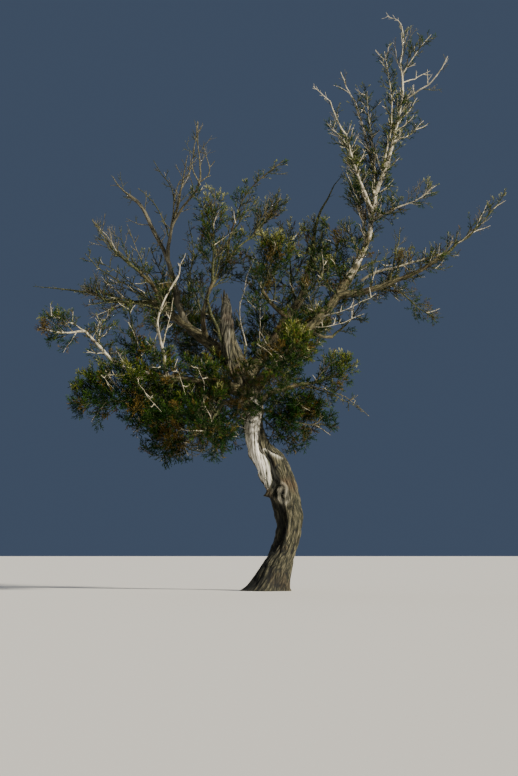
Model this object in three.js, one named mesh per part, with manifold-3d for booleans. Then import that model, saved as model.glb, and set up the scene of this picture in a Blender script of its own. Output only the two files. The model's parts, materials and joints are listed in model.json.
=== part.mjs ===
// A small wind-shaped conifer that grew out of a cleft in rock, in millimetres.
// +Z is up. The origin is the middle of the trunk's flat cut at ground level.
// The crown reaches along X, and its front faces -Y.
import * as THREE from "three";
import { mergeVertices } from "three/addons/utils/BufferGeometryUtils.js";
import Module from "manifold-3d";

const wasm = await Module();
wasm.setup();

// Clearance between one solid and the next.
const GAP = 0.35;

// The space that a mass keeps to: where its middle is along the stem, its half length, both
// as shares of the stem, and the strip that stays free at the wall between two spaces.
const SPACE_CENTRE = 0.52;
const SPACE_HALF = 0.53;
const SPACE_MARGIN = 3;

// The trunk's centre line from the ground to the broken top: [x, y, z, radius].
const TRUNK_LINE = [
  [12, 0, 0, 102],
  [66, 8, 165, 86],
  [112, 14, 300, 74],
  [124, 10, 400, 70],
  [112, 4, 500, 72],
  [90, -2, 610, 78],
  [22, -12, 738, 88],
  [-50, -8, 850, 80],
  [-94, 4, 985, 60],
  [-87, 12, 1100, 54],
  [-122, 6, 1230, 57],
  [-196, 0, 1365, 58],
  [-238, -6, 1500, 51],
  [-250, -4, 1620, 43],
  [-251, 2, 1700, 34],
  [-256, 6, 1786, 9],
];
const TRUNK_SIDES = 16;
const TRUNK_RINGS = 28;

// The root flare: how much it adds to the radius at the ground, and how fast it dies away.
const FLARE = 0.72;
const FLARE_HEIGHT = 78;

// Two strands of wood wind round the trunk. The first faces the front at PALE_FRONT_Z.
const STRAND_DEPTH = 0.16;
const STRAND_TURN = 0.25 * (Math.PI / 180);
const PALE_FRONT_Z = 900;

// Each bough is one tapering limb: what it grows on, its foot and tip radius, and its route.
// A silver one has lost its bark.
const BOUGHS = [
  {
    name: "bough_low_left", on: "trunk", foot: 34, tip: 15,
    route: [[-132, 0, 1188], [-335, -60, 1231], [-572, -90, 1265], [-775, -90, 1289]],
  },
  {
    name: "bough_low_front", on: "trunk", foot: 24, tip: 13,
    route: [[-100, 12, 1131], [-190, -180, 1116], [-264, -350, 1099]],
  },
  {
    name: "bough_back_low", on: "trunk", foot: 24, tip: 13,
    route: [[-110, 10, 1181], [-254, 150, 1247], [-416, 310, 1284]],
  },
  {
    name: "bough_reach_left", on: "bough_low_left", foot: 14, tip: 8, silver: true,
    route: [[-703, -90, 1283], [-892, -130, 1345], [-1030, -180, 1477], [-1082, -200, 1534]],
  },
  {
    name: "bough_grey", on: "bough_low_left", foot: 12, tip: 4, silver: true,
    route: [
      [-608, -90, 1271], [-627, -200, 1422], [-655, -240, 1565],
      [-619, -250, 1700], [-531, -240, 1860],
    ],
  },
  {
    name: "bough_shadow", on: "trunk", foot: 44, tip: 17,
    route: [[-180, 0, 1310], [-271, 40, 1420], [-410, 80, 1532], [-569, 115, 1656], [-703, 135, 1749]],
  },
  {
    name: "bough_fan", on: "bough_shadow", foot: 14, tip: 9,
    route: [[-605, 122, 1681], [-680, 40, 1817], [-777, -60, 1912]],
  },
  {
    name: "bough_antler", on: "bough_shadow", foot: 17, tip: 7, silver: true,
    route: [
      [-495, 100, 1600], [-557, 120, 1784], [-607, 160, 1989],
      [-700, 200, 2189], [-781, 240, 2354], [-862, 270, 2426],
    ],
  },
  {
    name: "bough_antler_fork", on: "bough_antler", foot: 9, tip: 5.5, silver: true,
    route: [[-613, 170, 2021], [-586, 110, 2200], [-518, 60, 2313], [-433, 20, 2415], [-408, 0, 2484]],
  },
  {
    name: "bough_inner_upright", on: "bough_shadow", foot: 15, tip: 10,
    route: [[-374, 70, 1501], [-389, -40, 1628], [-364, -90, 1754], [-328, -110, 1840]],
  },
  {
    name: "bough_top", on: "bough_inner_upright", foot: 9, tip: 7,
    route: [[-350, -98, 1788], [-276, -20, 1929], [-192, 40, 2058]],
  },
  {
    name: "bough_top_spike", on: "bough_top", foot: 6.5, tip: 2.5,
    route: [[-252, -2, 1968], [-215, -90, 2153], [-143, -150, 2334], [-72, -190, 2422], [93, -240, 2549]],
  },
  {
    name: "bough_centre", on: "trunk", foot: 37, tip: 19,
    route: [
      [-132, 10, 1251], [-54, 70, 1374], [49, 110, 1535],
      [146, 125, 1688], [213, 125, 1791], [237, 120, 1911],
    ],
  },
  {
    name: "bough_centre_left", on: "bough_centre", foot: 14, tip: 9,
    route: [[122, 122, 1651], [24, 0, 1716], [-36, -80, 1790]],
  },
  {
    name: "bough_leader_low", on: "trunk", foot: 34, tip: 22,
    route: [[-112, 0, 1195], [41, -70, 1338], [202, -100, 1514], [363, -95, 1687], [477, -75, 1857]],
  },
  {
    name: "bough_leader_high", on: "bough_leader_low", foot: 20, tip: 8, silver: true,
    route: [
      [477, -75, 1857], [555, -65, 2001], [621, -50, 2200], [658, -40, 2405],
      [736, -30, 2628], [778, -25, 2803], [815, -20, 2984],
    ],
  },
  {
    name: "bough_leader_right", on: "bough_leader_high", foot: 6.5, tip: 4, silver: true,
    route: [[809, -20, 2954], [894, -80, 2995], [968, -120, 3034], [1008, -140, 3077]],
  },
  {
    name: "bough_fork_left", on: "bough_leader_high", foot: 10, tip: 5.5, silver: true,
    route: [[664, -38, 2430], [627, 60, 2615], [581, 110, 2818], [534, 130, 2979]],
  },
  {
    name: "bough_fork_far", on: "bough_leader_high", foot: 9, tip: 5.5, silver: true,
    route: [[634, -46, 2261], [546, -130, 2450], [496, -180, 2595], [466, -200, 2710]],
  },
  {
    name: "bough_small_right", on: "bough_leader_high", foot: 7, tip: 5, silver: true,
    route: [[621, -48, 2225], [712, -140, 2252], [780, -190, 2280]],
  },
  {
    name: "bough_long_right", on: "bough_leader_low", foot: 20, tip: 11,
    route: [[417, -82, 1760], [575, -140, 1777], [750, -190, 1836], [895, -230, 1890], [1010, -260, 1963]],
  },
  {
    name: "bough_drop_right", on: "bough_long_right", foot: 9, tip: 6,
    route: [[616, -152, 1788], [704, -60, 1799], [804, 0, 1788]],
  },
  {
    name: "bough_under_right", on: "bough_leader_low", foot: 12, tip: 8,
    route: [[250, -98, 1568], [313, 20, 1526], [387, 90, 1527]],
  },
  {
    name: "bough_low_right", on: "trunk", foot: 22, tip: 13,
    route: [[-90, 10, 1129], [24, -70, 1177], [119, -100, 1205], [190, -110, 1228]],
  },
  {
    name: "bough_front_right", on: "trunk", foot: 20, tip: 12,
    route: [[-118, 6, 1225], [-60, -180, 1248], [-1, -330, 1281]],
  },
  {
    name: "bough_back_right", on: "trunk", foot: 26, tip: 14,
    route: [[-170, 2, 1320], [-72, 190, 1409], [51, 360, 1485]],
  },
  {
    name: "bough_back_left", on: "trunk", foot: 24, tip: 13,
    route: [[-216, -2, 1430], [-328, 190, 1506], [-430, 340, 1594]],
  },
];

// How full a kind of mass is: twigs on its stem, sprays that stand beside the twigs' own end
// sprays, side twigs, the length of a spray, and the size of a solid heart.
const KINDS = {
  dense: { twigs: 13, sprays: 1, forks: 0, spray: 215, heart: 0.36 },
  leafy: { twigs: 11, sprays: 2, forks: 0, spray: 185, heart: 0 },
  sparse: { twigs: 9, sprays: 0, forks: 1, spray: 140, heart: 0 },
  bare: { twigs: 7, sprays: 0, forks: 4, spray: 0, heart: 0 },
};

// Each mass is one node. Its stem starts on its bough's tip, or at foot where it is given,
// and runs to tip. wide is the half width seen from the front, and deep the half depth.
// whip is a bare point that the stem runs on to.
const MASSES = [
  {
    name: "foliage_low_left", on: "bough_low_left", foot: [-537, -90, 1263],
    tip: [-1164, -130, 1111], wide: 245, deep: 290, kind: "dense",
  },
  {
    name: "foliage_under_left", on: "bough_low_left", foot: [-418, -70, 1240],
    tip: [-628, -260, 758], wide: 265, deep: 280, kind: "dense",
  },
  {
    name: "foliage_low_front", on: "bough_low_front",
    tip: [-410, -700, 893], wide: 250, deep: 260, kind: "dense",
  },
  {
    name: "foliage_back_low", on: "bough_back_low",
    tip: [-836, 620, 1130], wide: 250, deep: 260, kind: "dense",
  },
  {
    name: "foliage_far_left", on: "bough_reach_left",
    tip: [-1353, -260, 1553], wide: 160, deep: 150, kind: "leafy",
  },
  {
    name: "foliage_fan_low", on: "bough_shadow",
    tip: [-1148, 220, 1826], wide: 230, deep: 220, kind: "sparse", whip: [-1443, 260, 1858],
  },
  {
    name: "foliage_fan_high", on: "bough_fan",
    tip: [-1050, -200, 2200], wide: 170, deep: 180, kind: "sparse",
  },
  {
    name: "twigs_antler_left", on: "bough_antler",
    tip: [-961, 310, 2550], wide: 110, deep: 100, kind: "bare",
  },
  {
    name: "twigs_antler_top", on: "bough_antler_fork",
    tip: [-425, -40, 2832], wide: 120, deep: 120, kind: "bare",
  },
  {
    name: "twigs_antler_middle", on: "bough_antler_fork", foot: [-586, 110, 2200],
    tip: [-490, 160, 2660], wide: 110, deep: 110, kind: "bare",
  },
  {
    name: "foliage_top_left", on: "bough_inner_upright",
    tip: [-321, -200, 2396], wide: 150, deep: 200, kind: "leafy",
  },
  {
    name: "foliage_top_right", on: "bough_top",
    tip: [86, 170, 2403], wide: 125, deep: 170, kind: "leafy",
  },
  {
    name: "foliage_centre", on: "bough_centre",
    tip: [300, 190, 2255], wide: 200, deep: 240, kind: "dense", whip: [459, 230, 2542],
  },
  {
    name: "foliage_centre_left", on: "bough_centre_left",
    tip: [50, -260, 2110], wide: 190, deep: 225, kind: "dense",
  },
  {
    name: "foliage_leader_top", on: "bough_leader_high",
    tip: [800, 0, 3440], wide: 180, deep: 150, kind: "sparse", whip: [722, 0, 3478],
  },
  {
    name: "twigs_leader_right", on: "bough_leader_right",
    tip: [1077, -170, 3196], wide: 80, deep: 80, kind: "bare",
  },
  {
    name: "foliage_fork_left", on: "bough_fork_left",
    tip: [446, 150, 3170], wide: 100, deep: 120, kind: "sparse",
  },
  {
    name: "foliage_fork_far", on: "bough_fork_far",
    tip: [362, -250, 2908], wide: 90, deep: 100, kind: "sparse", whip: [268, -270, 2987],
  },
  {
    name: "foliage_leader_side", on: "bough_leader_high", foot: [585, -58, 2082],
    tip: [520, 110, 2690], wide: 120, deep: 150, kind: "leafy",
  },
  {
    name: "foliage_small_right", on: "bough_small_right",
    tip: [995, -260, 2396], wide: 110, deep: 120, kind: "leafy",
  },
  {
    name: "foliage_long_right", on: "bough_long_right",
    tip: [1402, -330, 2345], wide: 90, deep: 100, kind: "sparse",
  },
  {
    name: "foliage_drop_right", on: "bough_drop_right",
    tip: [1035, 40, 1629], wide: 110, deep: 130, kind: "sparse",
  },
  {
    name: "foliage_under_right", on: "bough_under_right",
    tip: [600, 220, 1785], wide: 110, deep: 140, kind: "leafy",
  },
  {
    name: "twigs_right_upright", on: "bough_long_right", foot: [709, -182, 1826],
    tip: [792, -120, 2172], wide: 120, deep: 100, kind: "bare",
  },
  {
    name: "foliage_low_right", on: "bough_low_right",
    tip: [520, -150, 1345], wide: 140, deep: 190, kind: "dense",
  },
  {
    name: "foliage_droop_right", on: "trunk", foot: [-84, 8, 1076],
    tip: [392, 50, 985], wide: 220, deep: 230, kind: "dense",
  },
  {
    name: "foliage_front_right", on: "bough_front_right",
    tip: [176, -720, 1431], wide: 230, deep: 220, kind: "dense",
  },
  {
    name: "foliage_back_right", on: "bough_back_right",
    tip: [312, 820, 1728], wide: 250, deep: 240, kind: "dense",
  },
  {
    name: "foliage_back_left", on: "bough_back_left",
    tip: [-685, 760, 1880], wide: 250, deep: 240, kind: "dense",
  },
  {
    name: "foliage_back_top", on: "bough_centre", foot: [182, 125, 1744],
    tip: [118, 640, 2275], wide: 230, deep: 220, kind: "leafy",
  },
  {
    name: "foliage_left_tuft", on: "bough_low_left", foot: [-710, -90, 1283],
    tip: [-846, -60, 1728], wide: 210, deep: 180, kind: "leafy",
  },
];

// A mass's stem: its radii, and how far it sags as a share of its length.
const STEM_FOOT_RADIUS = 11;
const STEM_TIP_RADIUS = 4;
const STEM_BOW = 0.08;

// Its twigs: where along the stem they start, how far they lean out, in radians, and how much
// of the way to the edge of the space they fill.
const TWIG_FIRST = 0.14;
const TWIG_LAST = 0.96;
const TWIG_LEAN = 0.95;
const TWIG_FILL = 0.9;
const TWIG_FILL_LEAST = 0.7;
const TWIG_FOOT_SHARE = 0.7;
const SIDE_TWIG_RADIUS = 3.5;
const SHORTEST_TWIG = 30;
const GOLDEN_TURN = Math.PI * (3 - Math.sqrt(5));

// Its sprays: the sizes tried where room is short, how far up a twig the root is sunk, how much
// of a spray stands beyond its twig, its thickness, and the room in sprays that earns a twig.
const SPRAY_SIZES = [1, 0.8, 0.62, 0.48];
const SPRAY_SINK = 0.85;
const SPRAY_BEYOND = 0.8;
const SPRAY_THICK = 7;
const TWIG_FROM = 1.25;
const HEART_ROUGHNESS = 0.3;

const LOOKS = {
  bark: { color: 0x6b5a45, roughness: 0.95, metalness: 0 },
  silver: { color: 0xa89f90, roughness: 0.85, metalness: 0 },
  foliage: { color: 0x3d4a27, roughness: 0.8, metalness: 0 },
  twigs: { color: 0x9c9384, roughness: 0.9, metalness: 0 },
};

const vector = ([x, y, z]) => new THREE.Vector3(x, y, z);
const mix = THREE.MathUtils.lerp;

// A repeatable number from 0 to 1, for a seed and a count.
function chance(seed, count) {
  const wave = Math.sin(seed * 12.9898 + count * 78.233) * 43758.5453;
  return wave - Math.floor(wave);
}

function solidFrom(geometry) {
  geometry.deleteAttribute("normal");
  geometry.deleteAttribute("uv");
  const merged = mergeVertices(geometry, 1e-3);
  const vertProperties = merged.getAttribute("position").array;
  const triVerts = new Uint32Array(merged.index.array);
  return new wasm.Manifold(new wasm.Mesh({ numProp: 3, vertProperties, triVerts }));
}

function geometryFrom(solid) {
  const { vertProperties, triVerts } = solid.getMesh();
  const geometry = new THREE.BufferGeometry();
  geometry.setAttribute("position", new THREE.BufferAttribute(vertProperties, 3));
  geometry.setIndex(new THREE.BufferAttribute(triVerts, 1));
  return geometry;
}

// The piece of a solid that is left when loose scraps are dropped.
function largestPiece(solid) {
  return solid.decompose().sort((a, b) => b.volume() - a.volume())[0];
}

// A closed cylinder bent along a line. frameAt gives the two directions across the line
// at a ring, and radiusAt the radius at a share of the length and an angle.
function bentCylinder(line, sides, rings, frameAt, radiusAt, lengthen = 0) {
  const geometry = new THREE.CylinderGeometry(1, 1, 1, sides, rings);
  const position = geometry.getAttribute("position");
  for (let i = 0; i < position.count; i++) {
    const share = THREE.MathUtils.clamp(position.getY(i) + 0.5, 0, 1);
    const angle = Math.atan2(position.getZ(i), position.getX(i));
    const out = Math.hypot(position.getX(i), position.getZ(i)) * radiusAt(share, angle);
    const [side, other, ahead] = frameAt(Math.round(share * rings));
    const point = line.getPointAt(share);
    point.addScaledVector(side, Math.cos(angle) * out).addScaledVector(other, Math.sin(angle) * out);
    if (share === 0) point.addScaledVector(ahead, -lengthen);
    if (share === 1) point.addScaledVector(ahead, lengthen);
    position.setXYZ(i, point.x, point.y, point.z);
  }
  return geometry;
}

// A round tapering limb. swell makes the slightly larger copy that neighbours are cut by.
function limbSolid(limb, swell = 0) {
  const frames = limb.line.computeFrenetFrames(limb.rings, false);
  const frameAt = (ring) => [frames.binormals[ring], frames.normals[ring], frames.tangents[ring]];
  const radiusAt = (share) => limbRadius(limb, share) + swell;
  return solidFrom(bentCylinder(limb.line, limb.sides, limb.rings, frameAt, radiusAt, swell));
}

function limbRadius(limb, share) {
  return limb.foot ? mix(limb.foot, limb.tip, share ** 0.8) : plainTrunkRadius(share);
}

// The trunk: rings that stay square to its line, with a root flare and two winding strands.
const trunkLine = new THREE.CatmullRomCurve3(TRUNK_LINE.map(vector), false, "centripetal");

function plainTrunkRadius(share) {
  const place = trunkLine.getUtoTmapping(share) * (TRUNK_LINE.length - 1);
  const station = Math.min(Math.floor(place), TRUNK_LINE.length - 2);
  return mix(TRUNK_LINE[station][3], TRUNK_LINE[station + 1][3], place - station);
}

// The angle runs from +X towards the front.
function trunkRadius(share, angle) {
  const height = trunkLine.getPointAt(share).z;
  const turned = angle - Math.PI / 2 + STRAND_TURN * (height - PALE_FRONT_Z);
  const strands = 1 + STRAND_DEPTH * Math.cos(2 * turned) + 0.05 * Math.cos(5 * turned - 1);
  const spurs = 0.62 - 0.3 * Math.cos(angle) + 0.18 * Math.cos(4 * angle - 0.6);
  return plainTrunkRadius(share) * (strands + FLARE * Math.exp(-height / FLARE_HEIGHT) * spurs);
}

function trunkSolid(swell = 0) {
  const frameAt = (ring) => {
    const ahead = trunkLine.getTangentAt(ring / TRUNK_RINGS);
    if (ring === 0) ahead.set(0, 0, 1);
    const side = new THREE.Vector3(1, 0, 0).addScaledVector(ahead, -ahead.x).normalize();
    return [side, side.clone().cross(ahead), ahead];
  };
  const radiusAt = (share, angle) => trunkRadius(share, angle) + swell;
  return solidFrom(bentCylinder(trunkLine, TRUNK_SIDES, TRUNK_RINGS, frameAt, radiusAt, swell));
}

// Every limb that a mass must keep off, with its line, for quick distance tests.
const limbs = new Map();
const solids = new Map();
const swollen = new Map();

function addLimb(name, limb, solid, swollenSolid) {
  limb.samples = limb.line.getSpacedPoints(24);
  limbs.set(name, limb);
  solids.set(name, solid);
  swollen.set(name, swollenSolid);
}

function nearestOn(limb, point) {
  const nearer = (a, b) => (b.distanceToSquared(point) < a.distanceToSquared(point) ? b : a);
  return limb.samples.reduce(nearer).clone();
}

// Cuts a solid clear of every limb that it reaches into.
function cutClear(solid, others) {
  for (const other of others) {
    const cutter = swollen.get(other);
    if (solid.intersect(cutter).volume() > 0) solid = solid.subtract(cutter);
  }
  return largestPiece(solid);
}

addLimb("trunk", { line: trunkLine }, trunkSolid(), trunkSolid(GAP));

for (const bough of BOUGHS) {
  const route = bough.route.map(vector);
  route[0] = nearestOn(limbs.get(bough.on), route[0]);
  const line = new THREE.CatmullRomCurve3(route, false, "centripetal");
  const sides = bough.foot > 15 ? 6 : 5;
  const limb = { line, foot: bough.foot, tip: bough.tip, sides, rings: 2 * (route.length - 1) };
  addLimb(bough.name, limb, cutClear(limbSolid(limb), solids.keys()), limbSolid(limb, GAP));
}

// The space that a mass keeps to: an egg round its stem, less what is its neighbours'.
function spaceOf(mass) {
  const parent = limbs.get(mass.on);
  const foot = mass.foot ? nearestOn(parent, vector(mass.foot)) : parent.line.getPointAt(1);
  const tip = vector(mass.tip);
  const along = tip.clone().sub(foot);
  const length = along.length();
  along.normalize();
  const side = new THREE.Vector3(0, 1, 0).addScaledVector(along, -along.y).normalize();
  const up = side.clone().cross(along);
  const centre = foot.clone().addScaledVector(along, length * SPACE_CENTRE);
  const axes = [along, up, side];
  const halves = [length * SPACE_HALF, mass.wide, mass.deep];
  return { foot, tip, length, centre, axes, halves, walls: [] };
}

const spaces = MASSES.map(spaceOf);

function halfWidth(space, direction) {
  return Math.hypot(...space.axes.map((axis, i) => axis.dot(direction) * space.halves[i]));
}

for (let i = 0; i < spaces.length; i++) {
  for (let j = i + 1; j < spaces.length; j++) {
    const normal = spaces[j].centre.clone().sub(spaces[i].centre);
    const apart = normal.length();
    normal.normalize();
    const a = halfWidth(spaces[i], normal);
    const b = halfWidth(spaces[j], normal);
    if (a + b < apart) continue;
    const offset = normal.dot(spaces[i].centre) + (apart * a) / (a + b);
    spaces[i].walls.push({ normal, offset });
    spaces[j].walls.push({ normal: normal.clone().negate(), offset: -offset });
  }
}

// How far a ray runs before it leaves a space.
function reachIn(space, from, direction) {
  const start = from.clone().sub(space.centre);
  const p = space.axes.map((axis, i) => axis.dot(start) / space.halves[i]);
  const d = space.axes.map((axis, i) => axis.dot(direction) / space.halves[i]);
  const dd = d[0] ** 2 + d[1] ** 2 + d[2] ** 2;
  const pd = p[0] * d[0] + p[1] * d[1] + p[2] * d[2];
  const inside = pd ** 2 - dd * (p[0] ** 2 + p[1] ** 2 + p[2] ** 2 - 1);
  let reach = inside > 0 ? (-pd + Math.sqrt(inside)) / dd : 0;
  for (const wall of space.walls) {
    const speed = wall.normal.dot(direction);
    const room = wall.offset - SPACE_MARGIN - wall.normal.dot(from);
    if (room < 0) return 0;
    if (speed > 1e-6) reach = Math.min(reach, room / speed);
  }
  return Math.max(reach, 0);
}

function isInside(space, point) {
  const start = point.clone().sub(space.centre);
  const out = Math.hypot(...space.axes.map((axis, i) => axis.dot(start) / space.halves[i]));
  return out < 1 && space.walls.every((wall) => wall.normal.dot(point) < wall.offset - SPACE_MARGIN);
}

// Whether a straight piece from a to b comes nearer to a limb than its thickness allows.
function touchesLimb(a, b, thickness, except) {
  const piece = new THREE.Line3(a, b);
  const near = new THREE.Vector3();
  for (const [name, limb] of limbs) {
    if (name === except) continue;
    for (let i = 0; i < limb.samples.length; i++) {
      const room = limbRadius(limb, i / (limb.samples.length - 1)) * 1.25 + thickness;
      piece.closestPointToPoint(limb.samples[i], true, near);
      if (near.distanceTo(limb.samples[i]) < room) return true;
    }
  }
  return false;
}

// Two directions across a given one.
function across(direction) {
  const guide = Math.abs(direction.z) > 0.9 ? new THREE.Vector3(1, 0, 0) : new THREE.Vector3(0, 0, 1);
  const side = guide.cross(direction).normalize();
  return [side, direction.clone().cross(side)];
}

// The direction that leaves a line at an angle, turned round it.
function leaning(direction, turn, lean) {
  const [side, other] = across(direction);
  return direction
    .clone()
    .multiplyScalar(Math.cos(lean))
    .addScaledVector(side, Math.sin(lean) * Math.cos(turn))
    .addScaledVector(other, Math.sin(lean) * Math.sin(turn));
}

// A straight three-sided twig that runs out to a point.
function twigSolid(from, direction, length, footRadius) {
  const geometry = new THREE.ConeGeometry(footRadius, length, 3, 1);
  geometry.translate(0, length / 2, 0);
  geometry.applyQuaternion(new THREE.Quaternion().setFromUnitVectors(new THREE.Vector3(0, 1, 0), direction));
  geometry.translate(from.x, from.y, from.z);
  return solidFrom(geometry);
}

// A spray of needles of unit length: a toothed blade, thickest in the middle. [along, across].
const SPRAY_OUTLINE = [
  [0, 0],
  [0.5, -0.19],
  [0.62, -0.07],
  [1, 0],
  [0.7, 0.08],
  [0.62, 0.21],
];
const SPRAY_MIDDLE = 0.5;
const spray = new THREE.SphereGeometry(1, SPRAY_OUTLINE.length, 2);
const sprayPoints = spray.getAttribute("position");
for (let i = 0; i < sprayPoints.count; i++) {
  const tooth = Math.atan2(-sprayPoints.getZ(i), sprayPoints.getX(i)) / (2 * Math.PI) + 1;
  const [along, over] = SPRAY_OUTLINE[Math.round(tooth * SPRAY_OUTLINE.length) % SPRAY_OUTLINE.length];
  const pole = sprayPoints.getY(i);
  if (Math.abs(pole) < 0.5) sprayPoints.setXYZ(i, along, over, 0);
  else sprayPoints.setXYZ(i, SPRAY_MIDDLE, 0, Math.sign(pole) / 2);
}

// Fits a spray of a mass with its root at a point, shorter where its space is tight, or gives null.
function spraySolid(name, space, from, direction, turn, longest) {
  const [side, other] = across(direction);
  const wideWay = side.multiplyScalar(Math.cos(turn)).addScaledVector(other, Math.sin(turn));
  const thickWay = direction.clone().cross(wideWay);
  for (const length of SPRAY_SIZES.map((size) => size * longest)) {
    const corners = SPRAY_OUTLINE.map(([x, y]) =>
      from.clone().addScaledVector(direction, x * length).addScaledVector(wideWay, y * length));
    const roomy = corners.every((corner) => isInside(space, corner));
    if (!roomy || touchesLimb(from, corners[3], length * 0.2, name)) continue;
    const place = new THREE.Matrix4().makeBasis(
      direction.clone().multiplyScalar(length),
      wideWay.clone().multiplyScalar(length),
      thickWay.multiplyScalar(SPRAY_THICK),
    );
    place.setPosition(from);
    return solidFrom(spray.clone().applyMatrix4(place));
  }
  return null;
}

// The heart of a dense mass: a ragged ball, drawn in to its space.
function heartSolid(space, share, seed) {
  const geometry = new THREE.IcosahedronGeometry(1, 1);
  const position = geometry.getAttribute("position");
  for (let i = 0; i < position.count; i++) {
    const ray = new THREE.Vector3().fromBufferAttribute(position, i).normalize();
    const direction = new THREE.Vector3();
    space.axes.forEach((axis, k) => direction.addScaledVector(axis, ray.getComponent(k) * space.halves[k]));
    direction.normalize();
    const lump = share * (1 + HEART_ROUGHNESS * Math.sin(23 * ray.x + 17 * ray.y + 29 * ray.z + seed));
    const out = reachIn(space, space.centre, direction) * lump;
    const point = space.centre.clone().addScaledVector(direction, out);
    position.setXYZ(i, point.x, point.y, point.z);
  }
  return solidFrom(geometry);
}

// The stems first, so that each mass can keep off its neighbours' stems too.
MASSES.forEach((mass, number) => {
  const space = spaces[number];
  const middle = space.foot.clone().lerp(space.tip, 0.5);
  middle.z -= space.length * STEM_BOW;
  const route = [space.foot, middle, space.foot.clone().lerp(space.tip, 0.98)];
  if (mass.whip) route.push(vector(mass.whip));
  const foot = mass.foot ? STEM_FOOT_RADIUS : limbs.get(mass.on).tip;
  const line = new THREE.CatmullRomCurve3(route, false, "centripetal");
  space.stem = { line, foot, tip: STEM_TIP_RADIUS, sides: 5, rings: 2 * (route.length - 1) };
  space.twiggy = mass.whip ? space.length / line.getLength() : 1;
});
const boughNames = [...solids.keys()];
MASSES.forEach((mass, number) => {
  const { stem } = spaces[number];
  addLimb(mass.name, stem, cutClear(limbSolid(stem), boughNames), limbSolid(stem, GAP));
});

// A mass: twigs in a spiral up its stem, each as long as its space allows. A twig ends in a
// spray, and some carry another beside it, or a side twig.
function massSolid(mass, number) {
  const space = spaces[number];
  const kind = KINDS[mass.kind];
  const seed = number + 1;
  const parts = [limbSolid(space.stem)];
  const addSpray = (from, direction, turn) => {
    const made = kind.spray && spraySolid(mass.name, space, from, direction, turn, kind.spray);
    if (made) parts.push(made);
  };
  for (let i = 0; i < kind.twigs; i++) {
    const share = mix(TWIG_FIRST, TWIG_LAST, (i + 0.5) / kind.twigs) * space.twiggy;
    const from = space.stem.line.getPointAt(share);
    const turn = i * GOLDEN_TURN + seed;
    const lean = TWIG_LEAN * mix(0.85, 1.15, chance(seed, i));
    const direction = leaning(space.stem.line.getTangentAt(share), turn, lean);
    const fill = mix(TWIG_FILL_LEAST, TWIG_FILL, chance(seed, i + 50));
    const length = reachIn(space, from, direction) * fill;
    if (length < kind.spray * TWIG_FROM) {
      addSpray(from, direction, turn);
      continue;
    }
    const stemRadius = limbRadius(space.stem, share);
    const start = from.clone().addScaledVector(direction, stemRadius);
    const end = from.clone().addScaledVector(direction, length - kind.spray * SPRAY_BEYOND);
    if (length < SHORTEST_TWIG || touchesLimb(start, end, 4, mass.name)) continue;
    const footRadius = Math.max(stemRadius * TWIG_FOOT_SHARE, SIDE_TWIG_RADIUS);
    parts.push(twigSolid(from, direction, from.distanceTo(end), footRadius));
    addSpray(from.clone().lerp(end, SPRAY_SINK), direction, turn);
    if (i < kind.sprays) {
      const place = from.clone().lerp(end, 0.5);
      addSpray(place, leaning(direction, turn + i * Math.PI, 0.65), turn + 1);
    }
    if (i < kind.forks) {
      const place = from.clone().lerp(end, 0.5);
      const way = leaning(direction, turn + i * Math.PI, 0.7);
      const room = Math.min(reachIn(space, place, way) * TWIG_FILL, length * 0.55);
      const forkEnd = place.clone().addScaledVector(way, room);
      if (room < SHORTEST_TWIG || touchesLimb(place, forkEnd, 4, mass.name)) continue;
      parts.push(twigSolid(place, way, room, SIDE_TWIG_RADIUS));
    }
  }
  const last = space.twiggy * 0.9;
  addSpray(space.stem.line.getPointAt(last), space.stem.line.getTangentAt(last), seed);
  if (kind.heart) parts.push(heartSolid(space, kind.heart, seed));
  const others = [...limbs.keys()].filter((name) => name !== mass.name);
  return cutClear(wasm.Manifold.union(parts), others);
}

const massSolids = MASSES.map(massSolid);
MASSES.forEach((mass, number) => solids.set(mass.name, massSolids[number]));

const silverBoughs = BOUGHS.filter((bough) => bough.silver).map((bough) => bough.name);

function lookOf(name) {
  if (silverBoughs.includes(name)) return LOOKS.silver;
  if (name.startsWith("foliage")) return LOOKS.foliage;
  return name.startsWith("twigs") ? LOOKS.twigs : LOOKS.bark;
}

const tree = new THREE.Group();
for (const [name, solid] of solids) {
  const mesh = new THREE.Mesh(geometryFrom(solid), new THREE.MeshStandardMaterial(lookOf(name)));
  mesh.name = name;
  tree.add(mesh);
}

export default tree;
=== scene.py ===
# A small wind-shaped conifer: a winding trunk with a strip of bare wood, silver limbs at the
# top, and dark foliage in sprays. Metres, with the flat cut of the trunk on the ground at the
# origin and the front facing -Y.
import json
import math

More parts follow.
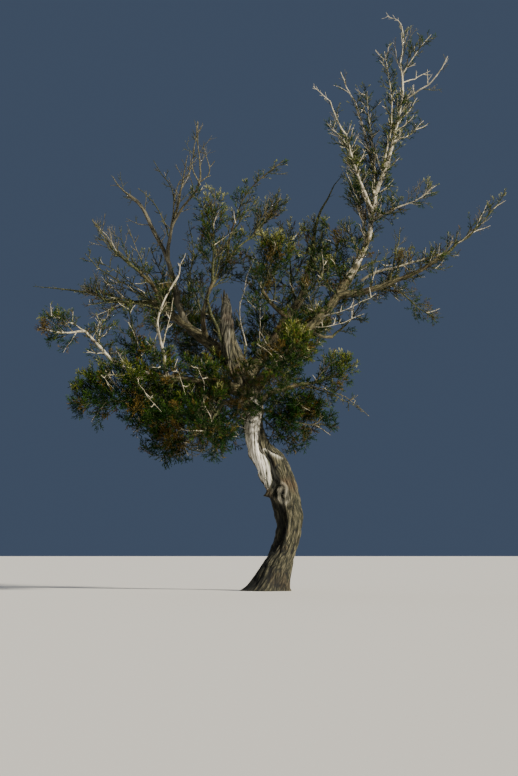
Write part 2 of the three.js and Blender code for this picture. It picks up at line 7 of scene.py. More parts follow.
import bpy
import numpy as np
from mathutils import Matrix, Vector

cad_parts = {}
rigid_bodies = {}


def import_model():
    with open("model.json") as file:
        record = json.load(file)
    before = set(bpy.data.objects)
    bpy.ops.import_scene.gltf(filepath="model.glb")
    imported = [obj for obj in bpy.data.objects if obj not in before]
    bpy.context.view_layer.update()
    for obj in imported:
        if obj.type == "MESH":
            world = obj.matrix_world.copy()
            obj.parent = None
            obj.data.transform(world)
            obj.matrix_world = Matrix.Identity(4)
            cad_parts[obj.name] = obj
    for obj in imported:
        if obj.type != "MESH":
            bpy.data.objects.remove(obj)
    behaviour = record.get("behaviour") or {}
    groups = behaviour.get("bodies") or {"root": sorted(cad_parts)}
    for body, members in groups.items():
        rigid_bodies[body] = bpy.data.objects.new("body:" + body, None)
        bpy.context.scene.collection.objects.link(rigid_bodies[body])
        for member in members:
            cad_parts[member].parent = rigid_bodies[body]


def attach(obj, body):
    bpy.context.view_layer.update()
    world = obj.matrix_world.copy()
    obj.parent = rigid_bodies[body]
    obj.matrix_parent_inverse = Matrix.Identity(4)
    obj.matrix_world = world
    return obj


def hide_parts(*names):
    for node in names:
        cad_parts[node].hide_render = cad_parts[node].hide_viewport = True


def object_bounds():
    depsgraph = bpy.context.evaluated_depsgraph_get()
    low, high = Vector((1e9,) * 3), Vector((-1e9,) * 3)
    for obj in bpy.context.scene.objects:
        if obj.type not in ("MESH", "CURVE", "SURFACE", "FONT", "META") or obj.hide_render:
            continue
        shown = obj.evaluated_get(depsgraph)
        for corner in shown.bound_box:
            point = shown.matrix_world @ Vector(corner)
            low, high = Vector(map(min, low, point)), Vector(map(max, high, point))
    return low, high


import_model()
cad_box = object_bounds()

# The trunk. One stem of old twisted wood. Brown bark in strings winds round it, and a strip of
# bare pale wood shows on the front where the bark has died. It ends in a broken, splintered top.
MM = 0.001
trunk_line = [  # x, y, z and radius in mm, from the ground to the broken top
    (12, 0, 0, 102), (66, 8, 165, 86), (112, 14, 300, 74), (124, 10, 400, 70), (112, 4, 500, 72),
    (90, -2, 610, 78), (22, -12, 738, 88), (-50, -8, 850, 80), (-94, 4, 985, 60), (-87, 12, 1100, 54),
    (-122, 6, 1230, 57), (-196, 0, 1365, 58), (-238, -6, 1500, 51), (-250, -4, 1620, 43),
    (-251, 2, 1700, 34), (-256, 6, 1786, 9),
]
trunk_rings, trunk_sides = 385, 252
flare, flare_height = 0.72, 78  # how much wider it is at the ground, and how soon that fades, in mm
strand_depth, strand_turn = 0.16, math.radians(0.25)  # the strands' depth, and their turn in each mm
pale_front_z = 900  # where a strand faces the front


def smooth_line(points, count):
    """Evenly spaced places on a smooth curve, where each lies among the points, and its length."""
    given = np.array(points, float)[:, :3]
    p = np.vstack([2 * given[0] - given[1], given, 2 * given[-1] - given[-2]])
    share = np.linspace(0, 1, 40, endpoint=False)[:, None]
    pieces = []
    for k in range(1, len(p) - 2):
        a, b, c = (np.linalg.norm(p[k + j] - p[k + j - 1]) ** 0.5 for j in range(3))
        step = p[k + 1] - p[k]
        leave = ((p[k] - p[k - 1]) / a - (p[k + 1] - p[k - 1]) / (a + b) + step / b) * b
        arrive = (step / b - (p[k + 2] - p[k]) / (b + c) + (p[k + 2] - p[k + 1]) / c) * b
        bend = (3 * step - 2 * leave - arrive) * share**2 + (leave + arrive - 2 * step) * share**3
        pieces.append(p[k] + leave * share + bend)
    fine = np.vstack(pieces + [given[-1:]])
    place = np.arange(len(fine)) / 40
    run = np.concatenate([[0], np.cumsum(np.linalg.norm(np.diff(fine, axis=0), axis=1))])
    at = np.linspace(0, run[-1], count)
    line = np.column_stack([np.interp(at, run, fine[:, i]) for i in range(3)])
    return line, np.interp(at, run, place), run[-1]


def unit(rows):
    return rows / np.linalg.norm(rows, axis=-1, keepdims=True)


def streaks(across, along, around, up, seed):
    """Smooth random heights from 0 to 1, in cells that close up round a limb. Across counts turns."""
    heights = np.random.default_rng(seed).random((up + 2, around))
    x = (across % 1.0) * around
    y = np.clip(along, 0, 1) * up
    i, j = np.floor(x).astype(int), np.floor(y).astype(int)
    u, v = x - i, y - j
    u, v = u * u * (3 - 2 * u), v * v * (3 - 2 * v)
    i, i2 = i % around, (i + 1) % around
    low = heights[j, i] * (1 - u) + heights[j, i2] * u
    high = heights[j + 1, i] * (1 - u) + heights[j + 1, i2] * u
    return low * (1 - v) + high * v


def ridges(across, along, around, up, seed):
    """Sharp-topped ridges from 0 to 1, in the same cells."""
    return 1 - np.abs(2 * streaks(across, along, around, up, seed) - 1)


def step_up(low, high, value):
    t = np.clip((value - low) / (high - low), 0, 1)
    return t * t * (3 - 2 * t)


def placed(name, data):
    """Puts a mesh, a light or a camera into the scene."""
    thing = bpy.data.objects.new(name, data)
    bpy.context.collection.objects.link(thing)
    return thing


def skin(name, grids):
    """One mesh from grids of surface points in mm, one for each limb, with their named measures."""
    corners, faces, measures = [], [], {}
    count = 0
    for grid, values in grids:
        rings, sides = grid.shape[:2]
        number = count + np.arange(rings * sides).reshape(rings, sides)
        beside = np.roll(number, -1, axis=1)
        quads = np.stack([number[:-1], beside[:-1], beside[1:], number[1:]], axis=-1)
        foot, tip = count + rings * sides, count + rings * sides + 1
        ends = [np.stack([beside[0], number[0], np.full(sides, foot)], axis=-1)]
        ends.append(np.stack([number[-1], beside[-1], np.full(sides, tip)], axis=-1))
        corners += [grid.reshape(-1, 3), grid[0].mean(0)[None], grid[-1].mean(0)[None]]
        faces += [tuple(face) for face in quads.reshape(-1, 4).tolist()]
        faces += [tuple(face) for face in np.vstack(ends).tolist()]
        for key, value in values.items():
            table = value.reshape(rings, sides, -1)
            caps = [table[0].mean(0)[None], table[-1].mean(0)[None]]
            measures.setdefault(key, []).append(np.vstack([table.reshape(rings * sides, -1), *caps]))
        count += rings * sides + 2
    mesh = bpy.data.meshes.new(name)
    mesh.from_pydata((np.vstack(corners) * MM).tolist(), [], faces)
    for key, parts in measures.items():
        table = np.vstack(parts).astype(np.float32)
        kind, slot = ("FLOAT", "value") if table.shape[1] == 1 else ("FLOAT_VECTOR", "vector")
        mesh.attributes.new(key, kind, "POINT").data.foreach_set(slot, table.ravel())
    mesh.shade_smooth()
    return placed(name, mesh)


def round_line(line, out, angle, side, front):
    """Surface points at a distance out from each place on a line, at each angle round it."""
    way = np.cos(angle)[..., None] * side[:, None] + np.sin(angle)[..., None] * front[:, None]
    return line[:, None] + out[..., None] * way


line, place, trunk_length = smooth_line(trunk_line, trunk_rings)
plain = np.interp(place, range(len(trunk_line)), [row[3] for row in trunk_line])[:, None]
ahead = unit(np.gradient(line, axis=0))
level = step_up(0, 160, np.linspace(0, trunk_length, trunk_rings))[:, None]
ahead = unit(np.array([0, 0, 1.0]) * (1 - level) + ahead * level)
side = unit(np.array([1.0, 0, 0]) - ahead * ahead[:, :1])
front = np.cross(side, ahead)
angle = -np.linspace(0, 2 * math.pi, trunk_sides, endpoint=False)[None, :]
height = line[:, 2:]
along = np.linspace(0, 1, trunk_rings)[:, None] * np.ones_like(angle)
turned = angle - math.pi / 2 + strand_turn * (height - pale_front_z)
strands = 1 + strand_depth * np.cos(2 * turned) + 0.05 * np.cos(5 * turned - 1)
spurs = 0.62 - 0.3 * np.cos(angle) + 0.18 * np.cos(4 * angle - 0.6)
radius = plain * (strands + flare * np.exp(-height / flare_height) * spurs)


def from_angle(middle):
    """How far round each place is from an angle, which runs from +X towards the front."""
    return (angle - middle + math.pi) % (2 * math.pi) - math.pi


def between(low, full, fading, high):
    """Rises from 0 to 1 between the first two heights, and falls again between the last two."""
    return step_up(low, full, height) * step_up(high, fading, height)


def knot(z, degrees, tall, wide):
    """How far each place on the trunk is from a knot, in knot widths, and in which direction."""
    rise, aside = (height - z) / tall, from_angle(math.radians(degrees)) * plain / wide
    return np.hypot(rise, aside), np.arctan2(rise, aside)


def lump(z, degrees, tall, wide):
    """A rounded swelling round a height in mm and an angle in degrees."""
    return np.exp(-knot(z, degrees, tall, wide)[0] ** 2)


# The strings of bark run nearly straight up from the ground, and wind with the strands above it.
# They part round the burl and close up again past it, and on it they curl in.
winding_z, straight_share = 560, 0.25
climb = np.maximum(height, winding_z) + straight_share * np.minimum(height - winding_z, 0)
wound = angle - math.pi / 2 + strand_turn * (climb - pale_front_z)
across = wound / (2 * math.pi)
across = across + 0.04 * (streaks(across, along, 5, 14, 1) - 0.5)
muscle = streaks(across, along, 9, 9, 2) - 0.5
burl_far, burl_way = knot(584, 102, 92, 60)
burl = np.exp(-(burl_far**2))
across = across - 0.07 * np.cos(burl_way) * burl_far * burl
uneven = across + 0.03 * (streaks(across, along, 17, 60, 12) - 0.5)
strings = (1 - ridges(uneven, along, 29, 21, 3)) ** 0.55
fibres = (1 - ridges(across, along, 76, 36, 4)) ** 0.7
cracks = ridges(across, along, 52, 16, 5) ** 5
curl = 0.5 + 0.5 * np.cos(8.2 * burl_far + 2 * burl_way + 4.2 * streaks(across, along, 14, 44, 9))
on_burl = 0.85 * step_up(1.05, 0.6, burl_far)
strings = strings * (1 - on_burl) + curl * on_burl

# The bare strip runs from the first limbs down the left of the bend to a point below it, with
# the bark's lip raised along its edge. The broken top is half bare too.
strip_z = [640, 658, 702, 760, 820, 878, 996, 1060, 1112, 1150, 1200]
strip_middle = [2.5, 2.48, 2.26, 2.2, 2.35, 2.5, 2.0, 1.8, 1.65, 1.6, 1.6]
strip_half = [-0.1, 0.16, 0.48, 0.58, 0.78, 0.97, 1.38, 1.3, 0.95, 0.35, -0.25]
off_middle = from_angle(np.interp(height, strip_z, strip_middle))
ragged = 0.2 * (streaks(across, along, 12, 40, 6) - 0.5)
edge = np.interp(height, strip_z, strip_half) - np.abs(off_middle) + ragged
bare = step_up(-0.03, 0.05, edge)
snag = step_up(1400, 1640, height + 260 * (streaks(across, along, 24, 6, 7) - 0.5))
lip = np.exp(-(((edge + 0.09) / 0.09) ** 2)) * (height < 1330)
rough = 1 - np.maximum(bare, 0.35 * snag)

# A strand of bark leaves the strip's right edge and crosses the front in a raised, pale rib.
rib_z, rib_middle = [738, 752, 792, 830, 880, 950], [0.1, 0.45, 1.19, 1.42, 1.45, 1.0]
rib_off = from_angle(np.interp(height, rib_z, rib_middle))
rib_half = np.interp(height, [740, 792, 830], [26, 16, 9])
rib = np.exp(-((rib_off * plain / rib_half) ** 2)) * between(738, 760, 880, 960)
under_rib = np.exp(-(((rib_off + 0.3) * plain / 16) ** 2)) * between(735, 760, 800, 850)

# Between the strip's lower end and the rib the wood falls away in a cleft, wider lower down, with painted
# shade in it. Below the burl the left half of the trunk lies back in a deep fold, with painted shade in it.
cleft_off = from_angle(np.interp(height, [650, 680, 740, 800], [1.85, 1.72, 1.52, 1.38]))
cleft_half = np.interp(height, [650, 680, 740, 800, 830], [34, 32, 20, 12, 5])
cleft = np.exp(-((cleft_off * plain / cleft_half) ** 4)) * between(640, 665, 805, 835)
fold_off = from_angle(math.radians(104))
fold = step_up(-0.16, 0.06, fold_off) * step_up(1.1, 0.6, fold_off) * between(120, 280, 500, 570)
features = [  # how far each stands out in mm, how much painted shade it gets, and where it lies
    (6, 0, lip), (10, 0, rib), (-13, 0.9, under_rib), (-22, 0.7, fold), (-13, 0, cleft),
    (0, 0.95, cleft * (1 - bare)), (17, 0, burl), (10, 0, on_burl * (curl - 0.5)),
    (-15, 0.8, np.exp(-((burl_far / 0.26) ** 2))),  # the eye of the burl
    (34, 0, lump(604, 163, 23, 22)),  # the stub of a lost limb
    (-22, 1, lump(606, 128, 34, 13)),  # the hollow beside it
    (-18, 1.3, lump(655, 110, 30, 26)),  # the gap under the strip
    (8, 0, lump(730, 25, 70, 60)),  # a bulge on the right of the bend
]
string_relief, fibre_relief, muscle_relief = 13, 5, 9  # in mm
bark = string_relief * (strings - 0.6) + fibre_relief * (fibres - 0.6)
relief = muscle_relief * muscle * plain / 90 - bare * (3 + 5 * cracks)
relief = relief + rough * bark * np.minimum(plain / 60, 1)
relief = relief + sum(out * where for out, _, where in features)
faded = np.interp(place, [0, 13.5, 15], [1, 1, 0.25])[:, None]
grid = round_line(line, radius + relief * faded, angle, side, front)
splinter = step_up(0.965, 1, along) * 70 * (streaks(across, along, 22, 1, 8) - 0.6)
grid = grid + ahead[:, None] * splinter[..., None]
grid[..., 2] = np.maximum(grid[..., 2], 0)

# The painted shade in its hollows and between its strings, on the side away from the light below the burl
# and at its foot, and the stains low on the strip.
lower_strip = step_up(880, 700, height)
stain = bare * lower_strip * step_up(0.3, 0.75, streaks(across, along, 30, 10, 13))
# Painted shade on the side that faces away from the key light below the burl, and painted shadow round its
# foot.
painted_shade = step_up(0.3, -0.3, np.cos(angle - 0.9)) * step_up(700, 540, height)
painted_shade = painted_shade + 0.7 * step_up(330, 90, height)
# Painted shade between its strings and fibres, less on the burl and the broken top.
deep = 0.9 * step_up(0.5, 0.12, strings) + 0.35 * step_up(0.45, 0.1, fibres)
deep = deep * rough * (1 - 0.4 * on_burl) * (1 - 0.35 * snag)
deep = deep + (0.8 + 0.5 * lower_strip) * bare * cracks + 0.55 * stain + 0.6 * painted_shade
deep = np.clip(deep + sum(painted_shade_share * where for _, painted_shade_share, where in features), 0, 1)
pale = np.clip(np.maximum(bare, 0.1 * snag) + 0.6 * rib * (height < 830), 0, 1)
# A painted highlight: the burl is painted a little paler.
pale = np.maximum(pale, 0.14 * on_burl)
stretched = 0.052 * trunk_length * along
grain = np.stack([plain * np.cos(wound), plain * np.sin(wound), stretched], axis=-1)
trunk = skin("trunk_wood", [(grid, {"bare": pale, "deep": deep, "grain": grain * MM})])


def add_nodes(tree, parts):
    """Adds nodes to a tree. A setting of the form node.output is a wire from an earlier node."""
    made = {}
    for name, (kind, settings) in parts.items():
        kind = kind if "Node" in kind else "ShaderNode" + kind
        node = tree.nodes["Principled BSDF"] if name == "surface" else tree.nodes.new(kind)
        made[name] = node
        for key, value in settings.items():
            if key == "stops":
                colour_stops(node.color_ramp.elements, value)
            elif isinstance(value, str) and "." in value:
                giver, output = value.split(".")
                tree.links.new(made[giver].outputs[output], node.inputs[key])
            elif isinstance(key, int) or key in node.inputs:
                node.inputs[key].default_value = value
            else:
                setattr(node, key, value)


def colour_stops(elements, stops):
    """Sets a colour ramp from places and colours."""
    elements[0].position, elements[0].color = stops[0][0], (*stops[0][1], 1)
    elements[1].position, elements[1].color = stops[-1][0], (*stops[-1][1], 1)
    for at, colour in stops[1:-1]:
        elements.new(at).color = (*colour, 1)


def finish_of(name, surface, parts=None):
    """A finish: what its surface is set to, and the nodes that feed it."""
    material = bpy.data.materials.new(name)
    material.use_nodes = True
    add_nodes(material.node_tree, (parts or {}) | {"surface": ("BsdfPrincipled", surface)})
    return material


def wood_finish(name, bark, wood, fine):
    """Bark and bare wood in one finish: the measures bare and grain say where each lies, and deep how far
    painted shade, and on the trunk its stains, darken it.
    """
    brown, shade = (0.075, 0.042, 0.02, 1), (0.045, 0.06, 0.025, 1)
    parts = {key: ("Attribute", {"attribute_name": key}) for key in ("bare", "deep", "grain")}
    parts |= {
        "string": ("TexNoise", {"Vector": "grain.Vector", "Scale": fine, "Detail": 7, "Roughness": 0.68}),
        "fibre": ("TexNoise", {"Vector": "grain.Vector", "Scale": fine * 3.4, "Detail": 3}),
        "added": ("Math", {"operation": "MULTIPLY_ADD", 0: "fibre.Fac", 1: 0.7, 2: "string.Fac"}),
        "lines": ("Math", {"operation": "SUBTRACT", 0: "added.Value", 1: 0.35}),
        "bark": ("ValToRGB", {"Fac": "lines.Value", "stops": bark}),
        "wood": ("ValToRGB", {"Fac": "lines.Value", "stops": wood}),
        "place": ("TexCoord", {}),
        "patch": ("TexNoise", {"Vector": "place.Object", "Scale": 9, "Detail": 4}),
        "rusted": ("MapRange", {"Value": "patch.Fac", "From Min": 0.52, "From Max": 0.7, "To Max": 0.55}),
        "rust": ("Mix", {"data_type": "RGBA", "Factor": "rusted.Result", "A": "bark.Color", "B": brown}),
        "both": ("Mix", {"data_type": "RGBA", "Factor": "bare.Fac", "A": "rust.Result", "B": "wood.Color"}),
        # Painted shade: the colour is darkened towards the shade colour as far as deep says.
        "shade": ("Mix", {
            "data_type": "RGBA", "blend_type": "MULTIPLY", "Factor": "deep.Fac", "A": "both.Result",
            "B": shade,
        }),
        "dull": ("MapRange", {"Value": "bare.Fac", "To Min": 0.95, "To Max": 0.72}),
        "bump": ("Bump", {"Height": "lines.Value", "Strength": 0.9, "Distance": 0.003}),
    }
    surface = {"Base Color": "shade.Result", "Roughness": "dull.Result", "Normal": "bump.Normal"}
    return finish_of(name, surface, parts)


old_bark = [(0.39, (0.003, 0.005, 0.001)), (0.50, (0.028, 0.028, 0.011)), (0.62, (0.145, 0.128, 0.075))]
pale_wood = [(0.35, (0.11, 0.10, 0.06)), (0.44, (0.46, 0.425, 0.335)), (0.58, (0.92, 0.88, 0.79))]
trunk.data.materials.append(wood_finish("trunk_bark_and_bare_wood", old_bark, pale_wood, 125))
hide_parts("trunk")
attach(trunk, "root")

# The boughs. Tapering limbs that leave the trunk and fork again. Most keep their brown bark, and
# those in the wind at the top and the far left have lost it and weathered to silver.
boughs = [  # name, what it grows on, foot and tip radius, its wood, and its route, in mm
    ("bough_low_left", "trunk", 34, 15, "bark",
     [(-132, 0, 1188), (-335, -60, 1231), (-572, -90, 1265), (-775, -90, 1289)]),
    ("bough_low_front", "trunk", 24, 13, "bark",
     [(-100, 12, 1131), (-190, -180, 1116), (-264, -350, 1099)]),
    ("bough_back_low", "trunk", 24, 13, "bark",
     [(-110, 10, 1181), (-254, 150, 1247), (-416, 310, 1284)]),
    ("bough_reach_left", "bough_low_left", 14, 8, "silver",
     [(-703, -90, 1283), (-892, -130, 1345), (-1030, -180, 1477), (-1082, -200, 1534)]),
    ("bough_grey", "bough_low_left", 12, 4, "silver",
     [(-608, -90, 1271), (-627, -200, 1422), (-655, -240, 1565), (-619, -250, 1700), (-531, -240, 1860)]),
    ("bough_shadow", "trunk", 44, 17, "bark",
     [(-180, 0, 1310), (-271, 40, 1420), (-410, 80, 1532), (-569, 115, 1656), (-703, 135, 1749)]),
    ("bough_fan", "bough_shadow", 14, 9, "bark",
     [(-605, 122, 1681), (-680, 40, 1817), (-777, -60, 1912)]),
    ("bough_antler", "bough_shadow", 17, 7, "weathered",
     [(-495, 100, 1600), (-557, 120, 1784), (-607, 160, 1989), (-700, 200, 2189), (-781, 240, 2354),
      (-862, 270, 2426)]),
    ("bough_antler_fork", "bough_antler", 9, 5.5, "weathered",
     [(-613, 170, 2021), (-586, 110, 2200), (-518, 60, 2313), (-433, 20, 2415), (-408, 0, 2484)]),
    ("bough_inner_upright", "bough_shadow", 15, 10, "bark",
     [(-374, 70, 1501), (-389, -40, 1628), (-364, -90, 1754), (-328, -110, 1840)]),
    ("bough_top", "bough_inner_upright", 9, 7, "bark",
     [(-350, -98, 1788), (-276, -20, 1929), (-192, 40, 2058)]),
    ("bough_top_spike", "bough_top", 6.5, 2.5, "bark",
     [(-252, -2, 1968), (-215, -90, 2153), (-143, -150, 2334), (-72, -190, 2422), (93, -240, 2549)]),
    ("bough_centre", "trunk", 37, 19, "bark",
     [(-132, 10, 1251), (-54, 70, 1374), (49, 110, 1535), (146, 125, 1688), (213, 125, 1791),
      (237, 120, 1911)]),
    ("bough_centre_left", "bough_centre", 14, 9, "bark",
     [(122, 122, 1651), (24, 0, 1716), (-36, -80, 1790)]),
    ("bough_leader_low", "trunk", 34, 22, "bark",
     [(-112, 0, 1195), (41, -70, 1338), (202, -100, 1514), (363, -95, 1687), (477, -75, 1857)]),
    ("bough_leader_high", "bough_leader_low", 20, 8, "silver",
     [(477, -75, 1857), (555, -65, 2001), (621, -50, 2200), (658, -40, 2405), (736, -30, 2628),
      (778, -25, 2803), (815, -20, 2984)]),
    ("bough_leader_right", "bough_leader_high", 6.5, 4, "silver",
     [(809, -20, 2954), (894, -80, 2995), (968, -120, 3034), (1008, -140, 3077)]),
    ("bough_fork_left", "bough_leader_high", 10, 5.5, "silver",
     [(664, -38, 2430), (627, 60, 2615), (581, 110, 2818), (534, 130, 2979)]),
    ("bough_fork_far", "bough_leader_high", 9, 5.5, "silver",
     [(634, -46, 2261), (546, -130, 2450), (496, -180, 2595), (466, -200, 2710)]),
    ("bough_small_right", "bough_leader_high", 7, 5, "silver",
     [(621, -48, 2225), (712, -140, 2252), (780, -190, 2280)]),
    ("bough_long_right", "bough_leader_low", 20, 11, "bark",
     [(417, -82, 1760), (575, -140, 1777), (750, -190, 1836), (895, -230, 1890), (1010, -260, 1963)]),
    ("bough_drop_right", "bough_long_right", 9, 6, "bark",
     [(616, -152, 1788), (704, -60, 1799), (804, 0, 1788)]),
    ("bough_under_right", "bough_leader_low", 12, 8, "bark",
     [(250, -98, 1568), (313, 20, 1526), (387, 90, 1527)]),
    ("bough_low_right", "trunk", 22, 13, "bark",
     [(-90, 10, 1129), (24, -70, 1177), (119, -100, 1205), (190, -110, 1228)]),
    ("bough_front_right", "trunk", 20, 12, "bark",
     [(-118, 6, 1225), (-60, -180, 1248), (-1, -330, 1281)]),
    ("bough_back_right", "trunk", 26, 14, "bark",
     [(-170, 2, 1320), (-72, 190, 1409), (51, 360, 1485)]),
    ("bough_back_left", "trunk", 24, 13, "bark",
     [(-216, -2, 1430), (-328, 190, 1506), (-430, 340, 1594)]),
]
limbs = {"trunk": (smooth_line(trunk_line, 25)[0], None)}  # 25 places on each limb, and its tip radius
woods = {"trunk": "bark"} | {row[0]: row[4] for row in boughs}
made_limbs = {"bark": [], "weathered": [], "silver": []}
ring_gap, sides_per_mm = 7, 0.75
sway_gap, string_gap, knot_gap, patch_gap = 85, 30, 75, 45  # in mm along the bough
swollen = 1.18  # the weathered ones have split and stand a little thicker
twist_length = 260  # in mm, for each radian of their twist
collar_size, collar_reach = 0.45, 1.7  # the swelling at the foot, as shares of its radius


def radius_at(foot, tip, share):
    return foot + (tip - foot) * share**0.8


def nearest_on(name, point):
    samples = limbs[name][0]
    return samples[np.argmin(np.linalg.norm(samples - np.array(point, float), axis=1))]


def across_line(ahead):
    """Two directions across a line at each of its rings, that turn as little as they can."""
    side = np.cross(ahead[0], (0.0, 1.0, 0.0) if abs(ahead[0][1]) < 0.8 else (1.0, 0.0, 0.0))
    sides = []
    for row in ahead:
        side = side - row * (side @ row)
        side = side / np.linalg.norm(side)
        sides.append(side)
    return np.array(sides), np.cross(ahead, sides)


for seed, (name, on, foot, tip, wood, route) in enumerate(boughs, 20):
    route = [tuple(nearest_on(on, route[0]))] + route[1:]
    samples, _, length = smooth_line(route, 25)
    limbs[name] = (samples, tip)
    rings, sides = int(length / ring_gap) + 4, int(np.clip(foot * sides_per_mm, 9, 30))
    line = smooth_line(route, rings)[0]
    share = np.linspace(0, 1, rings)
    cells = int(length / sway_gap) + 2
    sway = np.column_stack([streaks(share * 0, share, 3, cells, seed + 40 * k) for k in range(3)])
    share = share[:, None]
    plain = radius_at(foot, tip, share) * (swollen if wood == "weathered" else 1)
    freed = np.sin(math.pi * np.minimum(share * 1.4, 1))
    line = line + (sway - 0.5) * np.minimum(plain * 1.1, 13) * freed
    ahead = unit(np.gradient(line, axis=0))
    angle = np.linspace(0, 2 * math.pi, sides, endpoint=False)[None, :]
    along = share * np.ones_like(angle)
    turned = angle + share * length / twist_length
    across = turned / (2 * math.pi)
    strings = ridges(across, along, max(5, sides // 2), int(length / string_gap) + 2, seed + 200)
    knots = streaks(across, along, 3, int(length / knot_gap) + 2, seed + 300) ** 3
    collar = collar_size * np.exp(-share * length / (foot * collar_reach))
    bark_depth = 0.2 if wood == "bark" else 0.1
    bumps = 0.10 * np.cos(2 * turned) + bark_depth * (strings - 0.5) + 0.35 * (knots - 0.12)
    grid = round_line(line, plain * (1 + collar + bumps), angle, *across_line(ahead))
    bare = np.full_like(along, 0.0 if wood == "bark" else 1.0)
    if wood == "silver":
        bare = step_up(0.12, 0.34, streaks(across, along, 3, int(length / patch_gap) + 2, seed + 500))
    if name == "bough_leader_high":
        bare = bare * step_up(0.0, 0.1, along + 0.1 * (strings - 0.5))
    # Painted shade between the strings of their bark.
    deep = np.clip((0.62 - strings) * (1.2 if wood == "bark" else 0.9), 0, 1)
    stretched = along * length * 0.12 + seed * 90
    grain = np.stack([plain * np.cos(turned), plain * np.sin(turned), stretched], axis=-1)
    made_limbs[wood].append((grid, {"bare": bare, "deep": deep, "grain": grain * MM}))

# Brown bark on most of them, and under it wood that is pale, weathered or silver.
limb_bark = [(0.34, (0.007, 0.009, 0.002)), (0.48, (0.042, 0.038, 0.014)), (0.63, (0.15, 0.13, 0.065))]
limb_woods = {
    "bark": [(0.3, (0.10, 0.08, 0.055)), (0.46, (0.24, 0.20, 0.145)), (0.65, (0.36, 0.31, 0.24))],
    "weathered": [(0.3, (0.022, 0.02, 0.01)), (0.46, (0.062, 0.055, 0.029)), (0.65, (0.155, 0.138, 0.086))],
    "silver": [(0.32, (0.10, 0.09, 0.055)), (0.46, (0.33, 0.295, 0.21)), (0.62, (0.60, 0.55, 0.44))],
}
for wood, group in made_limbs.items():
    piece = skin(f"boughs_in_{wood}", group)
    piece.data.materials.append(wood_finish(f"boughs_in_{wood}_finish", limb_bark, limb_woods[wood], 150))
    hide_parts(*[row[0] for row in boughs if row[4] == wood])
    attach(piece, "root")

# The masses of foliage and of bare twigs. Each keeps to its own egg-shaped space round one stem,
# walled off from its neighbours', and the stem runs on from a bough's tip or side.
masses = [  # name, what its stem grows on, foot, tip, half width, half depth and kind, in mm
    ("foliage_low_left", "bough_low_left", (-537, -90, 1263), (-1164, -130, 1111), 245, 290, "dense"),
    ("foliage_under_left", "bough_low_left", (-418, -70, 1240), (-628, -260, 758), 265, 280, "dense"),
    ("foliage_low_front", "bough_low_front", None, (-410, -700, 893), 250, 260, "dense"),
    ("foliage_back_low", "bough_back_low", None, (-836, 620, 1130), 250, 260, "dense"),
    ("foliage_far_left", "bough_reach_left", None, (-1353, -260, 1553), 160, 150, "leafy"),
    ("foliage_fan_low", "bough_shadow", None, (-1148, 220, 1826), 230, 220, "fan"),
    ("foliage_fan_high", "bough_fan", None, (-1050, -200, 2200), 170, 180, "twiggy"),
    ("twigs_antler_left", "bough_antler", None, (-961, 310, 2550), 110, 100, "bare"),
    ("twigs_antler_top", "bough_antler_fork", None, (-425, -40, 2832), 120, 120, "bare"),
    ("twigs_antler_middle", "bough_antler_fork", (-586, 110, 2200), (-490, 160, 2660), 110, 110, "bare"),
    ("foliage_top_left", "bough_inner_upright", None, (-321, -200, 2396), 150, 200, "broken"),
    ("foliage_top_right", "bough_top", None, (86, 170, 2403), 125, 170, "wisp"),
    ("foliage_centre", "bough_centre", None, (300, 190, 2255), 200, 240, "broken"),
    ("foliage_centre_left", "bough_centre_left", None, (50, -260, 2110), 190, 225, "leafy"),
    ("foliage_leader_top", "bough_leader_high", None, (800, 0, 3440), 180, 150, "spare"),
    ("twigs_leader_right", "bough_leader_right", None, (1077, -170, 3196), 80, 80, "bare"),
    ("foliage_fork_left", "bough_fork_left", None, (446, 150, 3170), 100, 120, "spare"),
    ("foliage_fork_far", "bough_fork_far", None, (362, -250, 2908), 90, 100, "spare"),
    ("foliage_leader_side", "bough_leader_high", (585, -58, 2082), (520, 110, 2690), 120, 150, "wisp"),
    ("foliage_small_right", "bough_small_right", None, (995, -260, 2396), 110, 120, "sparse"),
    ("foliage_long_right", "bough_long_right", None, (1402, -330, 2345), 90, 100, "thin"),
    ("foliage_drop_right", "bough_drop_right", None, (1035, 40, 1629), 110, 130, "wisp"),
    ("foliage_under_right", "bough_under_right", None, (600, 220, 1785), 110, 140, "broken"),
    ("twigs_right_upright", "bough_long_right", (709, -182, 1826), (792, -120, 2172), 120, 100, "bare"),
    ("foliage_low_right", "bough_low_right", None, (520, -150, 1345), 140, 190, "dense"),
    ("foliage_droop_right", "trunk", (-84, 8, 1076), (392, 50, 985), 220, 230, "dense"),
    ("foliage_front_right", "bough_front_right", None, (176, -720, 1431), 230, 220, "dense"),
    ("foliage_back_right", "bough_back_right", None, (312, 820, 1728), 250, 240, "leafy"),
    ("foliage_back_left", "bough_back_left", None, (-685, 760, 1880), 250, 240, "leafy"),
    ("foliage_back_top", "bough_centre", (182, 125, 1744), (118, 640, 2275), 230, 220, "broken"),
    ("foliage_left_tuft", "bough_low_left", (-710, -90, 1283), (-846, -60, 1728), 210, 180, "broken"),
]
whips = {  # a long thin end that some stems run out to
    "foliage_fan_low": (-1443, 260, 1858),
    "foliage_centre": (459, 230, 2542),
    "foliage_leader_top": (722, 0, 3478),
    "foliage_fork_far": (268, -270, 2987),
}
